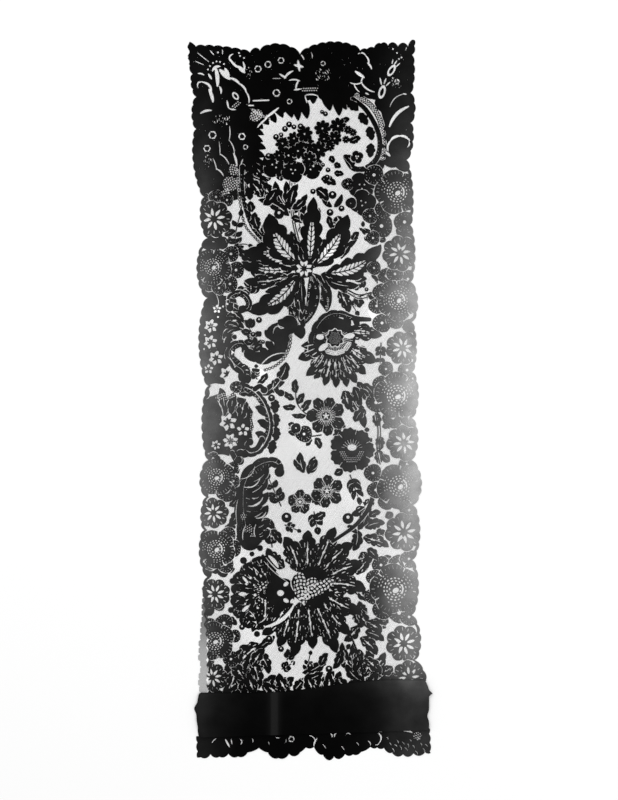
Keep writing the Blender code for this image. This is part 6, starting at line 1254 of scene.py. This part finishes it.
def area_of(loop):
    """The area inside a loop, in square mm, below 0 for a gap."""
    x, y = loop.T
    return 0.5 * (x * np.roll(y, -1) - np.roll(x, -1) * y).sum()


def read(field, x, y, px, py):
    """The grid's value at points between its own."""
    u = np.clip((px - x[0]) / (x[1] - x[0]), 0, len(x) - 1.001)
    v = np.clip((py - y[0]) / (y[1] - y[0]), 0, len(y) - 1.001)
    i = v.astype(int)
    j = u.astype(int)
    u = u - j
    v = v - i
    return ((field[i, j] * (1 - u) + field[i, j + 1] * u) * (1 - v)
            + (field[i + 1, j] * (1 - u) + field[i + 1, j + 1] * u) * v)


def rise(x, y):
    """The cloth's slight unevenness as it lies, in mm."""
    return (0.22 * np.sin(0.021 * x + 0.013 * y) + 0.16 * np.sin(0.037 * y - 0.02 * x + 1.0)
            + 0.10 * np.sin(0.06 * x + 0.045 * y + 2.0))


def put(name, points, faces, material):
    """Puts a mesh in the scene. Its points are in mm from the frame's zero."""
    mesh = bpy.data.meshes.new(name)
    mesh.from_pydata((points * MM).tolist(), [], faces)
    mesh.materials.append(material)
    made = bpy.data.objects.new(name, mesh)
    bpy.context.scene.collection.objects.link(made)
    return made


def laid(corners, high):
    """Flat points of the pattern in the frame, at a height that follows the cloth's unevenness."""
    x, y = corners.T
    return np.column_stack((x + SHIFT_X, y + SHIFT_Y, high + rise(x, y)))


def shell(name, field, lace, high, material):
    """The thread of a stretch of lace as one thin surface, and its area in square metres."""
    x, y = lace.x, lace.y
    loops = [trimmed(loop, TRIM) for loop in outlines(field, x, y)]
    loops = [loop for loop in loops if len(loop) > 2 and abs(area_of(loop)) > LEAST_AREA]
    points = []
    edges = []
    for loop in loops:
        start = len(points)
        count = len(loop)
        points += [Vector(p) for p in loop.tolist()]
        edges += [(start + k, start + (k + 1) % count) for k in range(count)]
    inner_x, inner_y = np.meshgrid(np.arange(x[0], x[-1], INNER_PITCH), np.arange(y[0], y[-1], INNER_PITCH))
    deep = read(field, x, y, inner_x, inner_y) > INNER_DEPTH
    points += [Vector(p) for p in np.stack((inner_x[deep], inner_y[deep]), 1).tolist()]
    corners, _, triangles, _, _, _ = delaunay_2d_cdt(points, edges, [], 0, 1e-6, False)
    corners = np.array([tuple(c) for c in corners])
    triangles = np.array(triangles)
    middle = corners[triangles].mean(1)
    kept = triangles[read(field, x, y, middle[:, 0], middle[:, 1]) > 0]
    used, kept = np.unique(kept, return_inverse=True)
    corners = corners[used]
    kept = kept.reshape(-1, 3)
    a, b, c = (corners[kept[:, k]] for k in range(3))
    u, v = b - a, c - a
    cross = u[:, 0] * v[:, 1] - u[:, 1] * v[:, 0]
    kept[cross < 0] = kept[cross < 0][:, ::-1]
    area = np.abs(cross).sum() / 2 * MM * MM
    print(name, "triangles", len(kept), "area", round(area, 4))
    return put(name, laid(corners, high), kept.tolist(), material), area


def net_joints():
    """Each left corner of the net's cells, and the three corners that a thread joins it to."""
    side = NET_PITCH / math.sqrt(3)
    c, s = math.cos(NET_TILT), math.sin(NET_TILT)
    columns = int(NET_SPAN / (1.5 * side))
    lines = int(NET_SPAN / NET_PITCH)
    i, j = np.meshgrid(np.arange(-columns // 2, columns // 2), np.arange(-lines // 2, lines // 2))
    u = 1.5 * side * i
    v = NET_PITCH * (j + 0.5 * (i % 2))
    odd = (i % 2 == 1)[..., None]

    def turned(u, v):
        """Corners turned by the net's tilt and pulled a little out of line."""
        q = np.stack((u * c - v * s, u * s + v * c), -1)
        q[..., 0] += 0.7 * np.sin(q[..., 1] * 0.031) + 0.4 * np.sin(q[..., 0] * 0.05)
        q[..., 1] += 0.6 * np.sin(q[..., 0] * 0.043 + 1)
        return q

    def cell(p, di, dj):
        """The same corner of a neighbouring cell."""
        return np.roll(np.roll(p, -dj, 0), -di, 1)

    left, right = turned(u - side, v), turned(u + side, v)
    # Two threads lead to the cells of the column before, and one to the cell two columns before.
    up = np.where(odd, cell(right, -1, 1), cell(right, -1, 0))
    down = np.where(odd, cell(right, -1, 0), cell(right, -1, -1))
    inner = (slice(2, -2), slice(3, -2))
    hubs = left[inner].reshape(-1, 2)
    ends = np.stack([p[inner].reshape(-1, 2) for p in (cell(right, -2, 0), up, down)], 1)
    far = np.hypot(*(ends - hubs[:, None]).transpose(2, 0, 1))
    near = (far < 1.6 * side + 2).all(1)
    return hubs[near], ends[near]


def ground_net(name, ground, lace, low, high, material):
    """Six-sided net as flat threads between two heights of the pattern, kept where the ground is open."""
    hubs, ends = net_joints()
    inside = (hubs[:, 1] > low) & (hubs[:, 1] < high)
    hubs, ends = hubs[inside], ends[inside]
    middle = (hubs[:, None] + ends) / 2
    keep = read(ground, lace.x, lace.y, middle[..., 0], middle[..., 1]) > 0
    corners = []
    faces = []
    for k in range(3):
        h, e = hubs[keep[:, k]], ends[keep[:, k], k]
        way = (e - h) / np.hypot(*(e - h).T)[:, None]
        aside = np.stack((-way[:, 1], way[:, 0]), 1) * NET_THREAD / 2
        h, e = h - way * NET_THREAD * 0.3, e + way * NET_THREAD * 0.3
        start = sum(map(len, corners))
        count = len(h)
        corners += [h + aside, h - aside, e - aside, e + aside]
        index = np.arange(count) + start
        faces.append(np.stack((index, index + count, index + 2 * count, index + 3 * count), 1))
    corners = np.concatenate(corners)
    faces = np.concatenate(faces)
    print(name, "quads", len(faces))
    return put(name, laid(corners, NET_HIGH), faces.tolist(), material)


# Tone is how much light the black thread gives back. Its rise over the length and towards both side edges is
# painted sheen, lighter where the light falls on the cloth. Places are in metres in the object's own frame,
# and each table of tones belongs to a span of places.
LENGTH = (-0.72, 0.72)
WIDTH = (-0.26, 0.26)
CREASE_HIGHLIGHT_SPAN = (-0.11, -0.03)
UNDER_SPAN = (-0.62, -0.34)
BODY_BLACK_AND_SHEEN = rows(
    "place value",
    (-0.72, 0.0010), (-0.60, 0.0012), (-0.52, 0.0060), (-0.40, 0.0065), (-0.30, 0.0100), (-0.20, 0.0220),
    (-0.06, 0.0290), (0.06, 0.0270), (0.14, 0.0180), (0.24, 0.0080), (0.36, 0.0050), (0.48, 0.0016),
    (0.72, 0.0006),
)
# Painted sheen at the right edge, by place along the length: lightest about the middle, near black at both
# ends.
RIGHT_EDGE_SHEEN = rows(
    "place value",
    (-0.72, 0.030), (-0.62, 0.014), (-0.57, 0.05), (-0.50, 0.17), (-0.33, 0.29), (-0.09, 0.37),
    (0.03, 0.41), (0.10, 0.38), (0.21, 0.31), (0.33, 0.19), (0.45, 0.055), (0.57, 0.012), (0.72, 0.005),
)
# Painted sheen at the left edge, by place along the length: lightest about the middle.
LEFT_EDGE_SHEEN = rows(
    "place value",
    (-0.72, 0.010), (-0.60, 0.006), (-0.50, 0.05), (-0.34, 0.07), (-0.16, 0.11), (0.10, 0.12),
    (0.24, 0.09), (0.36, 0.05), (0.50, 0.008), (0.72, 0.001),
)
# How far in from the right edge its painted sheen reaches, by place across the width.
RIGHT_SHEEN_REACH = rows("place value", (0.04, 0.0), (0.10, 0.04), (0.136, 0.14), (0.166, 0.48), (0.206, 1.08))
# How far in from the left edge its painted sheen reaches, by place across the width.
LEFT_SHEEN_REACH = rows("place value", (-0.24, 1.5), (-0.205, 0.85), (-0.18, 0.38), (-0.14, 0.06), (-0.10, 0.0))
# A painted highlight: a paler strip runs up through the fold along one of its raised creases.
CREASE_HIGHLIGHT = rows(
    "place value",
    (-0.088, 0), (-0.077, 0.003), (-0.074, 0.013), (-0.063, 0.012), (-0.060, 0.003), (-0.050, 0),
)
# Painted light on the layer below: its black thread is given a pale grey, palest at the lower end.
UNDER_PAINTED_LIGHT = rows("place value", (-0.60, 0.48), (-0.50, 0.40), (-0.46, 0.22), (-0.42, 0.15), (-0.38, 0.12))


def node(tree, kind, **sockets):
    """A shader node. Each socket, with _ for a space in its name, takes a number or another node's output."""
    made = tree.nodes.new("ShaderNode" + kind)
    feed(tree, made, **sockets)
    return made


def feed(tree, made, **sockets):
    """Gives a shader node's sockets their numbers or the outputs that feed them."""
    for name, value in sockets.items():
        socket = made.inputs[name.replace("_", " ")]
        if isinstance(value, bpy.types.NodeSocket):
            tree.links.new(value, socket)
        else:
            socket.default_value = value


def ramp(tree, place, span, stops):
    """A tone that follows a coordinate over a span, through a few stops."""
    low, high = span
    share = node(tree, "MapRange", Value=place, From_Min=low, From_Max=high)
    table = node(tree, "ValToRGB", Fac=share.outputs["Result"])
    table.color_ramp.interpolation = "B_SPLINE"
    spots = table.color_ramp.elements
    while len(spots) < len(stops):
        spots.new(0.5)
    for spot, stop in zip(spots, stops):
        spot.position = (stop["place"] - low) / (high - low)
        spot.color = (stop["value"],) * 3 + (1,)
    return table.outputs["Color"]


def joined(tree, kind, a, b):
    """Two numbers added or multiplied."""
    made = tree.nodes.new("ShaderNodeMath")
    made.operation = kind
    tree.links.new(a, made.inputs[0])
    tree.links.new(b, made.inputs[1])
    return made.outputs["Value"]


def stitches(tree, where, weave):
    """Two crossed sets of fine waves, the threads of the cloth stitch."""
    grain = []
    for turn in (0.55, -0.85):
        turned = node(tree, "Mapping", Vector=where, Rotation=(0, 0, turn)).outputs["Vector"]
        wave = node(tree, "TexWave", Vector=turned, Scale=weave, Distortion=1.6, Detail=2.0, Detail_Scale=0.6)
        grain.append(wave.outputs["Fac"])
    return joined(tree, "MULTIPLY", *grain)


def thread_material(name, weave, bump, lift=1.0, axis="", span=(), stops=()):
    """Matt black thread with painted sheen: its tone changes over the length and towards the side edges as it
    does in the light.

    axis, span and stops add one more ramp of tone. The fold's painted crease highlight and the pale painted
    light of the layer below are made this way.
    """
    material = bpy.data.materials.new(name)
    material.use_nodes = True
    tree = material.node_tree
    where = tree.nodes.new("ShaderNodeTexCoord").outputs["Object"]
    apart = node(tree, "SeparateXYZ", Vector=where).outputs
    x, y = apart["X"], apart["Y"]
    # Painted sheen along the length: the black is lightest about the middle and darkest at the top end.
    tone = ramp(tree, y, LENGTH, BODY_BLACK_AND_SHEEN)
    # Painted sheen towards each side edge: a tone along the length, times how far in from that edge the sheen
    # reaches.
    for tones, sheen_reach in ((RIGHT_EDGE_SHEEN, RIGHT_SHEEN_REACH), (LEFT_EDGE_SHEEN, LEFT_SHEEN_REACH)):
        side = joined(tree, "MULTIPLY", ramp(tree, y, LENGTH, tones), ramp(tree, x, WIDTH, sheen_reach))
        tone = joined(tree, "ADD", tone, side)
    # The closeness of the stitches varies from place to place, so the black is never quite even.
    cloud = node(tree, "TexNoise", Vector=where, Scale=26.0, Detail=5.0).outputs["Fac"]
    close = node(tree, "MapRange", Value=cloud, From_Min=0.3, From_Max=0.7, To_Min=0.72 * lift,
                 To_Max=1.28 * lift)
    tone = joined(tree, "MULTIPLY", tone, close.outputs["Result"])
    if axis:
        tone = joined(tree, "ADD", tone, ramp(tree, apart[axis], span, stops))
    stitch = stitches(tree, where, weave)
    shade = node(tree, "MapRange", Value=stitch, To_Min=0.7, To_Max=1.5)
    tone = joined(tree, "MULTIPLY", tone, shade.outputs["Result"])
    relief = node(tree, "Bump", Strength=bump, Distance=0.0003, Height=stitch)
    feed(tree, tree.nodes["Principled BSDF"], Base_Color=tone, Normal=relief.outputs["Normal"],
         Roughness=0.82, Specular_IOR_Level=0.02)
    return material


# The folded band: five plies, each set out or in a little at its four sides.
PLIES = rows(
    "low top left right",
    (0, 0, 0, 0), (-1.1, -0.5, 1.4, -1), (-0.4, -1.3, -0.6, 1.2), (-1.4, -0.4, 1, -0.4),
    (-0.7, -1.2, -0.8, 0.8),
)
PLY_HIGH = 1.15
PLY_ROUND = rows("share inset", (0, 1.1), (0.2, 0.3), (0.5, 0), (0.8, 0.3), (1, 1.1))
FOLD_LEFT = LEFT + 29
FOLD_RIGHT = RIGHT - 7
UPPER_FOLD = -589.0
ACROSS = 160
UP = 34
BAND_CREASES = rows(
    "x tip_x wide high",
    (-76, -70, 5, 0.55), (-58, -54, 3, -0.3), (-150, -160, 9, 0.35), (44, 60, 10, 0.3),
    (118, 112, 7, 0.35), (176, 190, 6, -0.35), (206, 214, 4, 0.4), (-214, -206, 7, 0.35),
)


def hump(u, middle, wide):
    """A soft bump of height 1 about a middle."""
    return np.exp(-(((u - middle) / wide) ** 2))


def band_ring(level, inset):
    """One outline of the folded stack, from its lower left corner and round to the left."""
    across = np.linspace(0, 1, ACROSS, endpoint=False)
    up = np.linspace(0, 1, UP, endpoint=False)
    ply = PLIES[level]

    def left(u):
        bulge = 6 * np.sin(np.pi * u) ** 0.6 + 5 * hump(u, 0.66, 0.1)
        return FOLD_LEFT - ply["left"] + inset - bulge - 0.8 * np.sin(12 * u + level)

    def right(u):
        dent = 3.5 * hump(u, 0.29, 0.08) + 8 * np.clip((u - 0.78) / 0.22, 0, 1) ** 1.5
        return FOLD_RIGHT - dent + 7 * hump(u, 0.74, 0.035) + ply["right"] - inset

    def wave(t):
        return (0.3 * np.sin(9 * t + 1.9 * level) + 0.25 * np.sin(31 * t + level)) * np.sin(np.pi * t)

    low_out = ply["low"] - inset
    top_out = ply["top"] - inset
    low_x = left(0) + (right(0) - left(0)) * across
    top_x = right(1) + (left(1) - right(1)) * across
    low_end, low_start = band_low(right(0)) - low_out, band_low(left(0)) - low_out
    top_end, top_start = band_top(right(1)) + top_out, band_top(left(1)) + top_out
    return np.concatenate([
        np.stack((low_x, band_low(low_x) - low_out - wave(across)), 1),
        np.stack((right(up), low_end + (top_end - low_end) * up), 1),
        np.stack((top_x, band_top(top_x) + top_out + wave(across)), 1),
        np.stack((left(1 - up), top_start + (low_start - top_start) * up), 1),
    ])


def band_rise(x, y):
    """The soft creases and the faint pattern of the layers below, on top of the stack."""
    share = np.clip((y - band_low(x)) / 90.0, 0, 1)
    high = 0.20 * np.sin(0.03 * x + 0.05 * y) + 0.12 * np.sin(0.11 * x - 0.04 * y + 1)
    # The upper fold ends a little lower at the right, and the one under it shows beyond.
    beyond = np.clip((y - UPPER_FOLD) / 3.0, 0, 1) * np.clip((x - 86) / 30.0, 0, 1)
    high = high - 1.6 * beyond
    for row in BAND_CREASES:
        middle = row["x"] + (row["tip_x"] - row["x"]) * share + 2 * np.sin(5 * share + row["x"])
        high = high + row["high"] * hump(x, middle, row["wide"])
    return high + 0.06 * np.sin(0.45 * x + 2 * np.sin(0.2 * y)) * np.sin(0.4 * y + 2 * np.sin(0.16 * x))


def spanned(rim):
    """A grid of points between the four sides of a closed rim, and where its corners lie on the rim."""
    low, right = rim[:ACROSS + 1], rim[ACROSS:ACROSS + UP + 1]
    top = rim[ACROSS + UP:2 * ACROSS + UP + 1][::-1]
    left = np.concatenate([rim[2 * ACROSS + UP:], rim[:1]])[::-1]
    u = np.linspace(0, 1, ACROSS + 1)[None, :, None]
    v = np.linspace(0, 1, UP + 1)[:, None, None]
    sheet = (1 - v) * low[None] + v * top[None] + (1 - u) * left[:, None] + u * right[:, None]
    sheet = sheet - (1 - u) * (1 - v) * low[0] - u * (1 - v) * low[-1]
    sheet = sheet - (1 - u) * v * top[0] - u * v * top[-1]
    number = np.zeros((UP + 1, ACROSS + 1), int)
    number[0, :] = np.arange(ACROSS + 1)
    number[:, -1] = ACROSS + np.arange(UP + 1)
    number[-1, ::-1] = ACROSS + UP + np.arange(ACROSS + 1)
    number[1:, 0][::-1] = 2 * ACROSS + UP + np.arange(UP)
    number[1:-1, 1:-1] = len(rim) + np.arange((UP - 1) * (ACROSS - 1)).reshape(UP - 1, ACROSS - 1)
    return sheet[1:-1, 1:-1].reshape(-1, 2), number


def folded_stack(name, material):
    """The folded stretch: five soft layers, rounded and stepped at the edges, creased on top."""
    rings = []
    for level in range(len(PLIES)):
        for step in PLY_ROUND[1 if level else 0:]:
            ring = band_ring(level, step["inset"])
            rings.append(np.column_stack((ring, np.full(len(ring), (level + step["share"]) * PLY_HIGH))))
    count = len(rings[0])
    sides = []
    for ring in range(len(rings) - 1):
        for k in range(count):
            a, b = ring * count + k, ring * count + (k + 1) % count
            sides.append([a, b, b + count, a + count])
    inner, number = spanned(rings[-1][:, :2])
    number = number + count * (len(rings) - 1)
    x, y = inner.T
    near_edge = least(band_top(x) - y, y - band_low(x), x - LEFT - 21, RIGHT - 8 - x)
    ease = np.clip(near_edge / 7.0, 0, 1) ** 0.6
    high = len(PLIES) * PLY_HIGH + ease * (0.6 + band_rise(x, y))
    quads = np.stack((number[:-1, :-1], number[:-1, 1:], number[1:, 1:], number[1:, :-1]), -1).reshape(-1, 4)
    faces = [list(range(count))[::-1], *sides, *quads.tolist()]
    points = np.concatenate([*rings, np.column_stack((inner, high))]) + (SHIFT_X, SHIFT_Y, 0)
    made = put(name, points, faces, material)
    for face in made.data.polygons:
        face.use_smooth = True
    return made


LAMPS = rows("x y z size power", (-1.6, 1.8, 3.2, 2.4, 37), (2.2, -0.6, 3.0, 2.6, 27))
WORLD_LIGHT = 0.84


def studio():
    """A plain pale floor, soft light and the camera straight above, as in the photograph."""
    scene = bpy.context.scene
    pale = bpy.data.materials.new("floor_white")
    pale.use_nodes = True
    feed(pale.node_tree, pale.node_tree.nodes["Principled BSDF"], Base_Color=(0.9, 0.9, 0.9, 1),
         Roughness=0.9, Specular_IOR_Level=0.0)
    corners = np.array([(-1, -1, 0), (1, -1, 0), (1, 1, 0), (-1, 1, 0)]) * FLOOR_HALF
    put("floor", corners, [(0, 1, 2, 3)], pale)

    lens = bpy.data.cameras.new("camera")
    lens.lens = LENS
    lens.sensor_width = SENSOR
    camera = bpy.data.objects.new("camera", lens)
    camera.location = (VIEW_X * MM, VIEW_Y * MM, IMAGE_HIGH * PIXEL_MM * LENS / SENSOR * MM)
    scene.collection.objects.link(camera)
    scene.camera = camera

    world = bpy.data.worlds.new("studio")
    world.use_nodes = True
    feed(world.node_tree, world.node_tree.nodes["Background"], Color=(1, 1, 1, 1), Strength=WORLD_LIGHT)
    scene.world = world
    for row in LAMPS:
        lamp = bpy.data.lights.new("soft_light", "AREA")
        lamp.size = row["size"]
        lamp.energy = row["power"]
        light = bpy.data.objects.new("soft_light", lamp)
        place = Vector((row["x"], row["y"], row["z"]))
        light.location = place
        light.rotation_euler = (-place).to_track_quat("-Z", "Y").to_euler()
        scene.collection.objects.link(light)
    scene.view_settings.view_transform = "Standard"


# The scallops of the layer below, which show beside the left edge. Their pale grey is painted light on black
# thread.
UNDER_EDGE = rows(
    "x y r",
    (-211, -392, 6), (-211, -403, 7), (-211, -415, 8), (-211, -428, 8), (-212, -440, 7), (-213, -451, 8),
    (-214, -463, 8), (-214, -476, 8), (-216, -489, 9), (-216, -503, 9), (-217, -517, 9), (-214, -530, 8),
    (-214, -542, 8), (-216, -554, 9), (-217, -567, 9), (-215, -580, 9),
)
UNDER_EDGE_RIGHT = -204.0
# Near the fold the upper layer lies further in: how far its left edge is out, for each y.
DRAWN_IN = rows("y out", (-480, 207), (-455, 212), (-390, 214), (-340, 245))


def under_edge(x, y):
    """Where the layer below has thread."""
    field = np.full(x.shape, -FAR)
    for row in UNDER_EDGE:
        rho, theta = polar(x, y, row["x"], row["y"])
        field = most(field, row["r"] * (1 + 0.05 * np.cos(7 * theta)) - rho)
    return least(np.clip(field, -SOFT_EDGE, SOFT_EDGE), UNDER_EDGE_RIGHT - x, y - band_top(x) + TUCKED)


def drawn_in(x, y):
    """How far a point lies inside the panel's left edge near the fold."""
    out = np.interp(y, [row["y"] for row in DRAWN_IN], [row["out"] for row in DRAWN_IN])
    return x + out - 2 * np.sin(0.31 * y)


def main():
    # Every thread gets the painted sheen ramps. The fold and the layer below each add one more ramp of
    # painted tone.
    black = thread_material("black_thread", 260.0, 0.5)
    net_black = thread_material("net_thread", 420.0, 0.2)
    # The fold's material adds a painted highlight along one raised crease.
    band_black = thread_material("folded_lace", 180.0, 0.7, 1.0, "X", CREASE_HIGHLIGHT_SPAN, CREASE_HIGHLIGHT)
    # The layer below gets no body sheen, only its own pale grey ramp of painted light.
    pale = thread_material("under_thread_painted_light", 260.0, 0.3, 0.0, "Y", UNDER_SPAN, UNDER_PAINTED_LIGHT)

    lace = Lace(GRID)
    draw(lace)
    x, y = np.meshgrid(lace.x, lace.y)
    sides = margin(x, y)
    panel = least(sides, drawn_in(x, y), y - band_top(x) + TUCKED)
    end = least(sides, band_low(x) + TUCKED - y, y - end_edge(x))
    pattern = np.clip(lace.height, -SOFT_EDGE, SOFT_EDGE)
    ground = NET_OVERLAP - pattern

    panel_lace, panel_area = shell("lace_thread", least(pattern, panel), lace, CLOTH_HIGH, black)
    end_lace, end_area = shell("end_thread", least(pattern, end), lace, CLOTH_HIGH, black)
    net_top = ground_net("net_upper", least(panel, ground), lace, NET_SPLIT, HIGH, net_black)
    net_low = ground_net("net_lower", least(panel, ground), lace, LOW, NET_SPLIT, net_black)
    net_end = ground_net("net_end", least(end, ground), lace, LOW - EDGE_ROOM, BAND_TOP_LEFT, net_black)
    stack = folded_stack("folded_lace", band_black)
    below, _ = shell("under_edge", under_edge(x, y), lace, UNDER_HIGH, pale)

    for piece in (panel_lace, end_lace, net_top, net_low, net_end, stack, below):
        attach(piece, "root")
    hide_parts("lace_panel")
    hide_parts("lace_end")
    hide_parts("folded_band")
    studio()


main()
